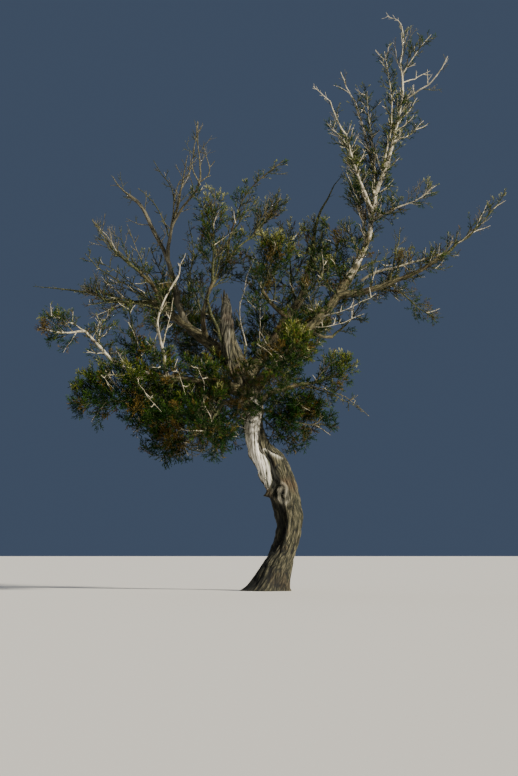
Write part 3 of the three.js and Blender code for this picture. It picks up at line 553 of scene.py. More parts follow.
kinds = {  # gap between twigs, side twigs and sprays, spray size, share gone bare, and lean
    "dense": (25, 30, 9.5, 0.82, 0.12, 0.9),
    "leafy": (24, 27, 10.5, 0.64, 0.12, 0.72),
    "sparse": (22, 25, 11.5, 0.48, 0.20, 0.62),
    "broken": (40, 32, 10, 0.58, 0.28, 0.8),
    "twiggy": (36, 44, 30, 0.36, 0.75, 0.5),
    "fan": (24, 24, 19, 0.40, 0.45, 0.55),
    "wisp": (25, 27, 12, 0.44, 0.26, 0.5),
    "thin": (44, 34, 15, 0.42, 0.35, 0.5),
    "spare": (62, 46, 17, 0.40, 0.45, 0.5),
    "tufted": (14, 22, 8.5, 0.6, 0.04, 0.85),
    "bare": (46, 48, 0, 0, 1.0, 0.75),
}
space_centre, space_half = 0.52, 0.53  # where its middle lies and how far it runs, for its length
space_margin = 3  # what twigs keep free of its walls, in mm
stem_foot, stem_tip, whip_tip = 11, 2, 1.3  # radii in mm
stem_bow, stem_kink, most_kink = 0.08, 0.014, 9  # its sag and its kinks for its length, and mm
golden_turn = math.pi * (3 - math.sqrt(5))
ground_gap = 60  # how far the crown keeps above the ground, in mm
crown_walls = []
for axis in range(3):
    for corner, sign in zip(cad_box, (-1, 1)):
        normal = Vector([sign if k == axis else 0 for k in range(3)])
        crown_walls.append((normal, abs(corner[axis]) / MM if corner[axis] else -ground_gap))


def chance(seed, count):
    wave = math.sin(seed * 12.9898 + count * 78.233) * 43758.5453
    return wave - math.floor(wave)


def kinked(samples, size, seed):
    """Puts small kinks in a line of 25 points, and none at its ends."""
    shift = np.array([[chance(seed, 3 * k + axis) - 0.5 for axis in range(3)] for k in range(9)])
    shift[[0, -1]] = 0
    bends = [np.interp(range(25), range(0, 25, 3), shift[:, axis]) for axis in range(3)]
    return np.array(samples) + 2 * size * np.column_stack(bends)


class Space:
    """The egg-shaped room of one mass or shoot, with its stem."""

    def __init__(self, foot, foot_radius, tip, wide, deep, kind, whip, wood):
        self.foot, self.foot_radius, self.tip, self.kind, self.wood = foot, foot_radius, tip, kind, wood
        along = self.tip - self.foot
        self.length = along.length
        along.normalize()
        side = (Vector((0, 1, 0)) - along * along.y).normalized()
        self.axes = (along, side.cross(along), side)
        self.halves = (self.length * space_half, wide, deep)
        self.centre = self.foot + along * self.length * space_centre
        self.walls = list(crown_walls)
        middle = self.foot.lerp(self.tip, 0.5)
        middle.z -= self.length * stem_bow
        route = [self.foot, middle, self.foot.lerp(self.tip, 0.98)] + ([Vector(whip)] if whip else [])
        self.stem, _, whole = smooth_line([tuple(p) for p in route], 25)
        self.stem = kinked(self.stem, min(stem_kink * whole, most_kink), self.tip.x + self.tip.z)
        self.twiggy = self.length / whole if whip else 1
        self.last_radius = whip_tip if whip else stem_tip

    def parts_of(self, way):
        """A direction along each of the space's axes, in half widths."""
        return [axis.dot(way) / half for axis, half in zip(self.axes, self.halves)]

    def half_width(self, way):
        return math.hypot(*(axis.dot(way) * half for axis, half in zip(self.axes, self.halves)))

    def outward(self, point):
        """0 at the middle of the space and 1 at its edge."""
        return math.hypot(*self.parts_of(point - self.centre))

    def reach(self, start, way):
        """How far a twig can run from start before it leaves the space."""
        p, d = self.parts_of(start - self.centre), self.parts_of(way)
        dd = sum(x * x for x in d)
        pd = sum(x * y for x, y in zip(p, d))
        inside = pd * pd - dd * (sum(x * x for x in p) - 1)
        run = (-pd + math.sqrt(inside)) / dd if inside > 0 else 0
        for normal, offset in self.walls:
            speed, room = normal.dot(way), offset - space_margin - normal.dot(start)
            if room < 0:
                return 0
            if speed > 1e-6:
                run = min(run, room / speed)
        return max(run, 0)


spaces = []
for name, on, foot, tip, wide, deep, kind in masses:
    foot_at = Vector(nearest_on(on, foot) if foot else limbs[on][0][-1])
    foot_radius = stem_foot if foot else limbs[on][1]
    spaces.append(Space(foot_at, foot_radius, Vector(tip), wide, deep, kind, whips.get(name), woods[on]))
for i, one in enumerate(spaces):
    for two in spaces[i + 1:]:
        normal = two.centre - one.centre
        apart = normal.length
        normal.normalize()
        a, b = one.half_width(normal), two.half_width(normal)
        if a + b > apart:
            offset = normal.dot(one.centre) + apart * a / (a + b)
            one.walls.append((normal, offset))
            two.walls.append((-normal, -offset))

# The side shoots. Small leafy or bare shoots in a spiral along the boughs between the masses,
# grown by the same rule in small egg-shaped spaces of their own.
side_shoots = {  # kind, where they start along the bough, the gap between them, length in mm, and rise
    "bough_low_left": ("dense", 0.12, 34, 240, 0.05), "bough_low_front": ("leafy", 0.2, 42, 200, 0.1),
    "bough_back_low": ("leafy", 0.2, 40, 220, 0.2), "bough_reach_left": ("sparse", 0.3, 80, 150, 0.3),
    "bough_grey": ("thin", 0.35, 50, 80, 0.6), "bough_shadow": ("sparse", 0.3, 46, 220, 0.3),
    "bough_fan": ("thin", 0.1, 36, 200, 0.15), "bough_antler": ("bare", 0.35, 100, 170, 0.3),
    "bough_antler_fork": ("bare", 0.3, 85, 150, 0.3), "bough_inner_upright": ("broken", 0.35, 56, 190, 0.3),
    "bough_top": ("leafy", 0.15, 40, 180, 0.3), "bough_top_spike": ("bare", 0.35, 90, 120, 0.3),
    "bough_centre": ("leafy", 0.25, 40, 250, 0.3), "bough_centre_left": ("leafy", 0.2, 44, 220, 0.3),
    "bough_leader_low": ("leafy", 0.3, 34, 200, 0.5), "bough_leader_high": ("sparse", 0.08, 32, 135, 0.6),
    "bough_leader_right": ("bare", 0.2, 45, 110, 0.3), "bough_fork_left": ("spare", 0.2, 50, 110, 0.5),
    "bough_fork_far": ("spare", 0.2, 50, 100, 0.5), "bough_small_right": ("leafy", 0.3, 40, 120, 0.3),
    "bough_long_right": ("wisp", 0.12, 30, 200, 0.3), "bough_drop_right": ("wisp", 0.2, 40, 160, 0.2),
    "bough_under_right": ("leafy", 0.2, 40, 130, 0.5), "bough_low_right": ("dense", 0.1, 26, 250, -0.25),
    "bough_front_right": ("leafy", 0.25, 42, 200, 0.2), "bough_back_right": ("leafy", 0.2, 38, 240, 0.3),
    "bough_back_left": ("leafy", 0.2, 38, 240, 0.3),
}
seen_boughs = (  # their shoots leave the front clear
    "bough_shadow", "bough_centre", "bough_leader_low", "bough_long_right", "bough_inner_upright",
)
shoot_foot, shoot_tip, shoot_width = 3.2, 1.2, 0.42  # radii in mm, and half its width for its length
shoot_lean, shoot_length = (0.85, 0.4), (0.6, 0.55)  # in radians, and of the length given; see vary
towards_front = -0.3  # how far along Y a shoot may point where the front stays clear


def vary(given, seed, count):
    """A value by chance, where the least it can be is given, and how much more."""
    return given[0] + given[1] * chance(seed, count)


def across_way(way):
    side = Vector((1, 0, 0) if abs(way.z) > 0.9 else (0, 0, 1)).cross(way).normalized()
    return side, way.cross(side)


def leaning(way, turn, lean):
    side, other = across_way(way)
    return way * math.cos(lean) + (side * math.cos(turn) + other * math.sin(turn)) * math.sin(lean)


def lifted(way, rise):
    return (way + Vector((0, 0, rise))).normalized()


def at_share(points, share):
    """The place at a share of the way along a line of points, and where it heads there."""
    place = share * (len(points) - 1)
    i = min(int(place), len(points) - 2)
    a, b = Vector(points[i]), Vector(points[i + 1])
    return a.lerp(b, place - i), (b - a).normalized()


def sprout(samples, kind, start, gap, long, rise, wood, seed, clear_front=False):
    """Starts small shoots in a spiral along a limb, and where clear_front is set, none of them towards the
    front where it is seen.
    """
    run = np.linalg.norm(np.diff(samples, axis=0), axis=1).sum() * (1 - start)
    for k in range(int(run / gap)):
        place, along = at_share(samples, start + (1 - start) * (k + 0.6 * chance(seed, k)) / (run / gap))
        way = lifted(leaning(along, k * golden_turn + seed, vary(shoot_lean, seed, k + 20)), rise)
        if clear_front and way.y < towards_front:
            continue
        length = long * vary(shoot_length, seed, k + 40)
        wide = length * shoot_width
        fresh = wood == "silver" and (kind == "tufted" or chance(seed, k + 60) < 0.5)
        shoot_wood = "bark" if fresh else wood
        shoot = Space(place, shoot_foot, place + way * length, wide, wide, kind, None, shoot_wood)
        shoot.last_radius = shoot_tip
        spaces.append(shoot)


for seed, (name, (kind, start, gap, long, rise)) in enumerate(side_shoots.items(), 60):
    sprout(limbs[name][0], kind, start, gap, long, rise, woods[name], seed, name in seen_boughs)

# The slender limbs. Long and thin, they rise beside the leader and out of the fan on the left,
# and leafy ones fill the low side of the crown. Pale dead stems cross its front. All of them are
# wood, some silver and some still in bark, with short shoots along them.
slender_limbs = [  # wood, shoot kind, gap and length, foot and tip radius, and route, in mm
    ("silver", "wisp", 34, 110, 7, 1.5, [(590, -60, 2330), (480, -90, 2652), (372, -110, 2796)]),
    ("silver", "wisp", 30, 110, 8, 1.5,
     [(636, -50, 2380), (640, 30, 2640), (615, 60, 2860), (590, 80, 3050)]),
    ("silver", "wisp", 36, 100, 7, 1.5, [(612, -52, 2240), (520, 60, 2640), (470, 90, 2780)]),
    ("silver", "wisp", 34, 100, 7, 1.5,
     [(690, -36, 2480), (742, -60, 2780), (738, -80, 3000), (702, -90, 3240)]),
    ("silver", "thin", 60, 90, 5, 1.3, [(806, -12, 3110), (900, -60, 3246), (985, -80, 3345)]),
    ("silver", "bare", 60, 70, 4.5, 1.2, [(808, -14, 3060), (900, 60, 3110), (990, 90, 3160)]),
    ("silver", "thin", 60, 90, 5.5, 1.4, [(758, -28, 2700), (872, 60, 2770), (948, 80, 2850)]),
    ("silver", "thin", 60, 80, 4.5, 1.2, [(778, -25, 2803), (850, 70, 2900), (912, 100, 2996)]),
    ("bark", "bare", 60, 70, 4.5, 1.2,
     [(-703, 135, 1749), (-800, 90, 1965), (-954, 60, 2052), (-1045, 40, 2200)]),
    ("bark", "twiggy", 60, 70, 5, 1.4,
     [(-640, 120, 1710), (-700, 60, 1890), (-800, 20, 1968), (-900, 0, 2082)]),
    ("bark", "thin", 40, 90, 6.5, 2.2,
     [(-703, 135, 1749), (-850, 120, 1840), (-1041, 110, 1965), (-1112, 100, 2040)]),
    ("bark", "thin", 44, 90, 6, 2.5,
     [(-640, 120, 1700), (-786, 60, 1724), (-912, 40, 1734), (-1062, 20, 1718)]),
    ("bark", "sparse", 32, 100, 6, 2,
     [(-495, 100, 1610), (-470, 160, 1890), (-456, 180, 2052), (-470, 190, 2178)]),
    ("bark", "sparse", 32, 100, 6, 2,
     [(-560, 112, 1650), (-640, 200, 1890), (-680, 230, 1998), (-720, 240, 2090)]),
    ("bark", "leafy", 30, 130, 7, 2.5,
     [(-345, -100, 1800), (-314, -60, 2022), (-354, -40, 2217), (-390, -30, 2361)]),
    ("bark", "leafy", 32, 120, 6, 2.5,
     [(-320, -110, 1850), (-250, -180, 2060), (-160, -200, 2200), (-120, -210, 2330)]),
    ("weathered", "bare", 50, 70, 4, 1.8,
     [(190, -110, 1228), (330, -125, 1198), (430, -130, 1164), (600, -140, 1032)]),
    ("bark", "thin", 34, 120, 7, 2,
     [(477, -75, 1857), (580, -20, 1945), (690, 20, 1990), (780, 40, 2010)]),
    ("bark", "leafy", 30, 120, 7, 2.5, [(417, -82, 1760), (440, 20, 1880), (400, 70, 2010)]),
    ("bark", "dense", 26, 115, 7, 2.5, [(-96, 0, 1120), (-190, -60, 1000), (-220, -80, 890)]),
    ("bark", "dense", 26, 115, 7, 2.5, [(-88, 4, 1080), (10, 60, 1000), (110, 70, 900), (190, 60, 840)]),
    ("weathered", "bare", 60, 60, 5, 2,
     [(-583, 108, 2230), (-565, 110, 2397), (-546, 115, 2481), (-486, 120, 2527), (-476, 120, 2677)]),
    ("weathered", "bare", 60, 50, 4, 1.8, [(-480, 40, 2360), (-448, 60, 2388), (-486, 80, 2538)]),
    ("weathered", "bare", 60, 60, 4.5, 1.8,
     [(-408, 0, 2440), (-457, -20, 2537), (-448, -30, 2630), (-420, -40, 2816)]),
    ("weathered", "bare", 60, 50, 4, 1.8, [(-408, 0, 2460), (-355, -10, 2520), (-390, -30, 2677)]),
    ("bark", "bare", 60, 60, 5, 2,
     [(-583, 108, 2230), (-579, 130, 2401), (-640, 150, 2520), (-700, 160, 2621)]),
    ("bark", "bare", 60, 60, 5, 2,
     [(-607, 160, 2150), (-640, 130, 2250), (-682, 140, 2341), (-793, 160, 2448)]),
    ("bark", "leafy", 28, 130, 7, 2.5, [(555, -65, 2001), (500, -40, 2120), (440, -20, 2200)]),
    ("bark", "leafy", 28, 140, 8, 2.5,
     [(182, 125, 1744), (330, 60, 1900), (420, 40, 2050), (400, 30, 2170)]),
    ("bark", "dense", 26, 125, 7, 2.5,
     [(-418, -70, 1240), (-405, -140, 1050), (-390, -160, 930), (-330, -160, 890)]),
    ("bark", "thin", 70, 70, 13, 8,
     [(-262, -25, 1420), (-296, -55, 1540), (-340, -80, 1640), (-364, -90, 1740), (-350, -98, 1788)]),
    ("bark", "wisp", 40, 80, 7, 2,
     [(-165, 10, 1330), (-138, 30, 1470), (-162, 20, 1560), (-192, 10, 1650)]),
    ("silver", "bare", 50, 45, 3.4, 1,
     [(-40, 60, 1390), (-46, 30, 1520), (-48, 10, 1680), (-36, 0, 1800)]),
    ("bark", "dense", 28, 110, 7, 2.5, [(190, -110, 1228), (330, -110, 1180), (420, -100, 1150)]),
    ("bark", "leafy", 28, 130, 6, 2.2,
     [(-389, -40, 1628), (-440, 0, 1780), (-470, 30, 1900), (-480, 40, 1990)]),
    ("bark", "leafy", 28, 120, 6, 2.2, [(-345, -100, 1800), (-250, -60, 1870), (-170, -20, 1900)]),
    ("bark", "leafy", 30, 110, 6, 2.2, [(24, 0, 1716), (-80, 20, 1800), (-140, 20, 1870)]),
    ("bark", "leafy", 26, 120, 6, 2.2,
     [(24, 0, 1716), (-30, 50, 1810), (-70, 70, 1880), (-100, 80, 1950)]),
    ("bark", "leafy", 26, 115, 6, 2.2, [(24, 0, 1716), (46, 60, 1830), (20, 90, 1940)]),
    ("bark", "leafy", 26, 120, 6, 2.2, [(300, -98, 1620), (240, -160, 1740), (210, -180, 1850)]),
    ("bark", "leafy", 26, 120, 6, 2.2,
     [(417, -82, 1760), (360, -150, 1810), (300, -180, 1890), (270, -180, 1970)]),
    ("bark", "dense", 26, 125, 7, 2.5, [(-537, -90, 1263), (-640, -160, 1080), (-700, -200, 930)]),
    ("bark", "dense", 26, 125, 7, 2.5, [(-418, -70, 1240), (-470, -200, 1000), (-500, -240, 860)]),
    ("bark", "dense", 26, 120, 6, 2.2, [(-640, -160, 1080), (-740, -150, 1000), (-800, -150, 930)]),
    ("bark", "dense", 26, 115, 6, 2.2, [(-390, -160, 930), (-310, -170, 880), (-250, -160, 880)]),
    ("bark", "dense", 26, 115, 6, 2.2, [(-500, -240, 860), (-450, -250, 830), (-380, -240, 815)]),
    ("silver", "bare", 42, 45, 3.4, 0.9,
     [(-572, -90, 1265), (-540, -280, 1300), (-505, -420, 1220), (-480, -445, 1140)]),
    ("silver", "bare", 42, 45, 3.4, 0.9,
     [(-710, -90, 1280), (-770, -260, 1240), (-690, -420, 1120), (-618, -445, 1041)]),
    ("silver", "bare", 42, 45, 3, 0.9,
     [(-420, -70, 1245), (-430, -240, 1320), (-390, -360, 1260), (-372, -400, 1170)]),
    ("silver", "bare", 42, 40, 3, 0.9, [(-800, -90, 1285), (-960, -250, 1260), (-900, -400, 1180)]),
    ("silver", "bare", 44, 50, 4.5, 1.2,
     [(-625, -180, 1420), (-640, -235, 1500), (-650, -250, 1600), (-600, -260, 1700)]),
    ("silver", "bare", 44, 50, 3.6, 1,
     [(-130, 30, 1470), (-165, -20, 1640), (-150, -60, 1780), (-110, -90, 1920), (-18, -110, 2100)]),
    ("silver", "bare", 38, 60, 4, 1,
     [(250, -98, 1568), (350, -170, 1560), (450, -190, 1590), (570, -180, 1640)]),
    ("silver", "bare", 38, 60, 4, 1,
     [(300, -98, 1620), (420, -190, 1650), (540, -210, 1700), (640, -200, 1760)]),
    ("silver", "bare", 44, 45, 4, 1,
     [(190, 120, 1760), (290, -60, 1800), (322, -200, 1900), (316, -230, 2020)]),
    ("silver", "sparse", 30, 100, 9, 4,
     [(560, -90, 1850), (630, -130, 1893), (858, -190, 1940), (1032, -240, 1995), (1090, -270, 2060)]),
    ("silver", "leafy", 28, 110, 5, 2, [(-1082, -200, 1534), (-1200, -160, 1600), (-1320, -150, 1640)]),
    ("silver", "sparse", 28, 110, 5, 2, [(-1000, -165, 1450), (-1010, -100, 1500), (-980, -90, 1620)]),
    ("bark", "twiggy", 50, 70, 4.5, 1.2, [(-777, -60, 1912), (-900, -100, 2030), (-1010, -120, 2115)]),
    ("bark", "fan", 34, 80, 5, 1.2,
     [(-703, 135, 1749), (-860, 60, 1885), (-960, 20, 1950), (-1050, 10, 1975)]),
    ("weathered", "bare", 50, 70, 4.5, 1.2,
     [(-680, 40, 1817), (-760, 0, 1960), (-820, -20, 2110), (-850, -30, 2200)]),
    ("bark", "fan", 34, 80, 5, 1.2,
     [(-640, 120, 1700), (-780, 80, 1790), (-900, 60, 1840), (-1010, 50, 1880)]),
    ("silver", "bare", 46, 50, 4.5, 1.2,
     [(-627, -200, 1440), (-600, -225, 1540), (-575, -235, 1640), (-560, -240, 1730)]),
    ("silver", "bare", 40, 50, 5, 1.1,
     [(-575, -246, 1780), (-531, -240, 1860), (-515, -236, 1930), (-488, -232, 1995)]),
    ("bark", "dense", 22, 120, 6, 1.6, [(-330, -160, 890), (-310, -120, 850), (-290, -110, 840)]),
    ("bark", "dense", 22, 120, 6, 1.6, [(-470, -200, 1000), (-460, -150, 900), (-450, -140, 820)]),
    ("bark", "dense", 22, 120, 6, 1.6, [(-560, -200, 960), (-590, -180, 880), (-560, -150, 815)]),
    ("bark", "dense", 22, 110, 5, 1.6, [(-330, -160, 890), (-330, -80, 860), (-340, -40, 835)]),
    ("bark", "dense", 24, 100, 5, 1.6, [(-190, -60, 1000), (-270, -60, 920), (-330, -50, 870)]),
    ("bark", "dense", 22, 120, 6, 1.6, [(-96, 0, 1120), (-200, 70, 1060), (-310, 90, 960)]),
    ("bark", "dense", 22, 110, 6, 1.6, [(-96, 0, 1120), (-150, 50, 1020), (-240, 70, 900)]),
    ("bark", "dense", 22, 120, 6, 1.6, [(-418, -70, 1240), (-370, 30, 1090), (-350, 50, 940)]),
    ("bark", "dense", 22, 110, 6, 1.6, [(-418, -70, 1240), (-310, -90, 1150), (-240, -110, 1040)]),
    ("bark", "dense", 24, 110, 5, 1.6, [(-700, -120, 1150), (-800, -100, 1080), (-870, -90, 1060)]),
    ("bark", "thin", 24, 60, 4, 1, [(330, -125, 1198), (450, -120, 1130), (560, -110, 1075)]),
    ("weathered", "bare", 400, 30, 13, 2, [(-262, 0, 1640), (-272, -8, 1710), (-282, -10, 1778)]),
    ("weathered", "bare", 400, 30, 12, 2, [(-242, 2, 1640), (-236, -2, 1700), (-231, -4, 1752)]),
]
limb_kink, most_limb_kink = 0.016, 7  # the size of a kink, for its length, and at most in mm
slender_lines = []
for seed, (wood, kind, gap, long, foot, tip, route) in enumerate(slender_limbs, 120):
    samples, _, length = smooth_line(route, 25)
    samples = kinked(samples, min(limb_kink * length, most_limb_kink), seed)
    slender_lines.append((samples, foot, tip, wood))
    sprout(samples, kind, start=0.2, gap=gap, long=long, rise=0.4, wood=wood, seed=seed)
    if wood == "silver" and kind != "bare":
        sprout(samples, "tufted", start=0.1, gap=24, long=62, rise=0.6, wood=wood, seed=seed + 60)

# The tufts. Short leafy spurs that sit right on the limbs where the foliage is thin, so that the
# limb shows between them. They grow by the same rule as the shoots.
tufts = {  # where they start along the bough, the gap between them and their length, in mm
    "bough_leader_high": (0.04, 17, 85), "bough_leader_low": (0.45, 24, 105),
    "bough_fork_left": (0.1, 20, 72), "bough_fork_far": (0.1, 22, 72),
    "bough_small_right": (0.1, 15, 85), "bough_long_right": (0.1, 18, 80),
    "bough_drop_right": (0.1, 20, 80), "bough_fan": (0.1, 26, 80),
    "bough_reach_left": (0.3, 24, 80), "bough_grey": (0.4, 34, 60),
    "bough_top": (0.2, 26, 80), "bough_top_spike": (0.2, 26, 62),
}
for seed, (name, (start, gap, long)) in enumerate(tufts.items(), 220):
    sprout(limbs[name][0], "tufted", start, gap, long, 0.5, woods[name], seed)

# The twigs. Crooked and thin, each bent out of its stem in a spiral, with finer ones on it in the
# same way. They keep the wood of their bough, and the dead ones have gone silver.
twig_lines = {"bark": [], "weathered": [], "silver": []}
sprays = []
twig_first, twig_last = 0.14, 0.96  # where along a stem, as shares of it
spray_first, spray_last = 0.14, 0.97  # where along a twig
shortest_twig, shortest_side_twig, shortest_point = 16, 18, 12  # in mm
longest_side_twig, forking_length = 150, 55  # in mm, and the length of a twig that has side twigs
twig_joint, side_twig_joint, point_gap = 34, 26, 30  # in mm between kinks, and between points
twig_tip, side_twig_tip, point_foot, point_tip = 1.1, 0.9, 1.3, 0.7  # radii in mm
dead_foot, slim_foot = 4.2, 2.6  # the least radius of a dead twig's foot, and of another's, in mm
lean_varied, twig_run = (0.85, 0.3), (0.74, 0.2)  # of its kind's lean, and of the room it has
side_twig_lean, side_twig_run = (0.6, 0.35), (0.6, 0.4)  # in radians, and of the room it has
side_twig_rise, kinkiness = 0.15, 0.5
twig_lift, side_twig_lift, point_lift = 0.22, 0.3, 0.2  # how far each bends up over its length
point_lean, point_run = 0.75, (22, 34)  # in radians and mm
end_twigs, end_lean, end_run = 7, 0.7, (18, 26)  # on a whip's end, in radians and mm
end_foot, end_tip = 1.6, 0.8  # radii in mm
short_stem = 300  # in mm, and under it a stem needs fewer joints
spray_length = 56  # in mm, for a size of 1
spray_lean, spray_size, spray_rise = (0.45, 0.5), (0.7, 0.5), 0.22  # in radians, and of its kind's size
past_edge, shortest_spray = 14, 18  # how far one may stand out of its space, and what room it needs
inner_part, left_out, enlarged = 0.55, 0.45, 1.25  # inside, some are left out and the rest larger


def crooked(start, way, length, steps, seed, lift):
    """A twig's line: it kinks at each joint and lifts towards the light."""
    points = [start.copy()]
    here, heading = start.copy(), way.copy()
    for k in range(steps):
        side, other = across_way(heading)
        kink = side * (chance(seed, k) - 0.5) + other * (chance(seed, k + 9) - 0.5)
        heading = lifted(heading + kink * kinkiness, lift / steps)
        here = here + heading * length / steps
        points.append(here.copy())
    return points


def add_twig(points, foot, tip, wood):
    """Adds a twig that tapers along its points."""
    steps = len(points) - 1
    radii = [radius_at(foot, tip, k / steps) for k in range(steps + 1)]
    twig_lines[wood].append(([Vector(point) for point in points], radii))


def add_spray(space, place, way, size, seed):
    """Adds a spray of leaves, smaller where its space is tight, and fewer and larger ones deep inside."""
    if space.outward(place) < inner_part:
        if chance(seed, 91) < left_out:
            return
        size *= enlarged
    room = space.reach(place, way) + past_edge
    if room > shortest_spray:
        sprays.append((place, way, min(size * spray_length, room) * MM, space, seed))


def leaf_out(space, points, gap, size, seed, length):
    """Sets sprays along a twig, in the same spiral, and one at its tip."""
    span = {"dense": 0.84, "leafy": 0.82}.get(space.kind, 0.8)
    count = max(1, int(length / gap))
    for k in range(count):
        place, way = at_share(points, spray_first + span * (k + 0.5 * chance(seed, k)) / count)
        way = lifted(leaning(way, k * golden_turn + seed, vary(spray_lean, seed, k + 5)), spray_rise)
        add_spray(space, place, way, size * vary(spray_size, seed, k + 3), seed + k)
    if space.kind == "dense" or chance(seed, 77) < 0.5:
        add_spray(space, *at_share(points, spray_last), size, seed + 0.5)


for points, foot, tip, wood in slender_lines:
    add_twig(points, foot, tip, wood)
for number, space in enumerate(spaces, 1):
    gap, side_gap, spray_gap, size, bare_share, twig_lean = kinds[space.kind]
    bare_kind, silver, fanned = space.kind == "bare", space.wood == "silver", space.kind in ("fan", "twiggy")
    pale_share = 0.45 if silver else 0.1 if bare_kind else 0.3 if fanned else 0.7
    every = 3 if space.length < short_stem else 1
    add_twig(space.stem[::every], space.foot_radius, space.last_radius, space.wood)
    twigs = max(3, int(space.length / gap))
    for i in range(twigs):
        share = (twig_first + (twig_last - twig_first) * (i + 0.5) / twigs) * space.twiggy
        start, along = at_share(space.stem, share)
        way = leaning(along, i * golden_turn + number, twig_lean * vary(lean_varied, number, i))
        length = space.reach(start, way) * vary(twig_run, number, i + 50)
        if length < shortest_twig:
            continue
        seed = number * 100 + i
        dead = chance(seed, 1) < bare_share
        bare = bare_kind or dead
        wood = space.wood
        if dead or silver:
            wood = "silver" if chance(seed, 2) < pale_share else "weathered"
        if bare_kind and not silver and chance(seed, 4) < 0.5:
            wood = "bark"
        thinnest = dead_foot if dead and not (bare_kind or fanned or silver) else slim_foot
        foot = max(radius_at(space.foot_radius, space.last_radius, share) * 0.5, thinnest)
        twig = crooked(start, way, length, max(3, int(length / twig_joint)), seed, twig_lift)
        add_twig(twig, min(foot, 1.4 + length / 40), twig_tip, wood)
        side_twigs = max(2, int(length / side_gap)) if length > forking_length else 0
        for j in range(side_twigs):
            side_share = 0.16 + 0.8 * (j + 0.4 * chance(seed, j + 20)) / side_twigs
            place, along_twig = at_share(twig, side_share)
            side_lean = vary(side_twig_lean, seed, j + 30)
            side_way = lifted(leaning(along_twig, j * golden_turn + seed, side_lean), side_twig_rise)
            room = space.reach(place, side_way) * 0.95
            room = min(room, (0.6 - 0.3 * side_share) * length, longest_side_twig)
            side_length = room * vary(side_twig_run, seed, j + 40)
            if side_length < shortest_side_twig:
                continue
            side_bare = bare or chance(seed, j + 60) < bare_share * 0.5
            side_wood = "weathered" if (side_bare and not bare_kind) or wood == "silver" else wood
            if not side_bare and chance(seed, j + 80) < 0.6:
                side_wood = "bark"
            joints = max(2, int(side_length / side_twig_joint))
            fine = crooked(place, side_way, side_length, joints, seed + j, side_twig_lift)
            add_twig(fine, min(2.3, 1.3 + side_length / 90), side_twig_tip, side_wood)
            if not side_bare:
                leaf_out(space, fine, spray_gap, size, seed + 7 * j, side_length)
                continue
            for k in range(int(side_length / point_gap)):
                point_at, point_way = at_share(fine, 0.35 + 0.6 * k * point_gap / side_length)
                point_way = leaning(point_way, k * golden_turn + seed, point_lean)
                run = min(space.reach(point_at, point_way), vary(point_run, seed, j + k))
                if run > shortest_point:
                    point = crooked(point_at, point_way, run, 2, seed + k, point_lift)
                    add_twig(point, point_foot, point_tip, side_wood)
        if not bare:
            leaf_out(space, twig, spray_gap * 1.5, size, seed + 3, length)
    for k in range(end_twigs if space.twiggy < 1 else 0):
        place, along = at_share(space.stem, space.twiggy + (1 - space.twiggy) * (k + 0.5) / end_twigs)
        way = leaning(along, k * golden_turn + number, end_lean)
        run = vary(end_run, number, k + 70)
        add_twig(crooked(place, way, run, 2, number + k, point_lift), end_foot, end_tip, space.wood)


def grower(name, inputs, parts, last):
    """A tree of nodes that ends in real faces with a finish, and what to call its inputs by."""
    tree = bpy.data.node_groups.new(name, "GeometryNodeTree")
    sockets = {}
    for key, kind in inputs.items():
        socket = tree.interface.new_socket(key, in_out="INPUT", socket_type="NodeSocket" + kind)
        sockets[key] = socket.identifier
    tree.interface.new_socket("Grown", in_out="OUTPUT", socket_type="NodeSocketGeometry")
    ends = {
        "real": ("GeometryNodeRealizeInstances", {"Geometry": last}),
        "paint": ("GeometryNodeSetMaterial", {"Geometry": "real.Geometry", "Material": "given.Finish"}),
        "out": ("NodeGroupOutput", {"Grown": "paint.Geometry"}),
    }
    add_nodes(tree, {"given": ("NodeGroupInput", {})} | parts | ends)
    return tree, sockets


def grown(name, mesh, marks, tree, sockets, settings):
    """Marks the points of a mesh, runs a tree of nodes on it and keeps the result as a plain piece."""
    for key, (kind, slot, values) in marks.items():
        mesh.attributes.new(key, kind, "POINT").data.foreach_set(slot, values)
    guide = placed(name + "_guide", mesh)
    modifier = guide.modifiers.new("grow", "NODES")
    modifier.node_group = tree
    for key, value in settings.items():
        modifier[sockets[key]] = value
    now = bpy.context.evaluated_depsgraph_get()
    done = guide.evaluated_get(now)
    mesh = bpy.data.meshes.new_from_object(done, preserve_all_data_layers=True, depsgraph=now)
    guide.modifiers.remove(modifier)
    bpy.data.objects.remove(guide)
    mesh.name = name
    return placed(name, mesh)


def twig_finish(name, stops):
    parts = {
        "place": ("TexCoord", {}),
        "noise": ("TexNoise", {"Vector": "place.Object", "Scale": 160, "Detail": 3}),
        "colour": ("ValToRGB", {"Fac": "noise.Fac", "stops": stops}),
        "bump": ("Bump", {"Height": "noise.Fac", "Strength": 0.5, "Distance": 0.001}),
    }
    surface = {"Base Color": "colour.Color", "Roughness": 0.85, "Specular IOR Level": 0.3}
    return finish_of(name, surface | {"Normal": "bump.Normal"}, parts)


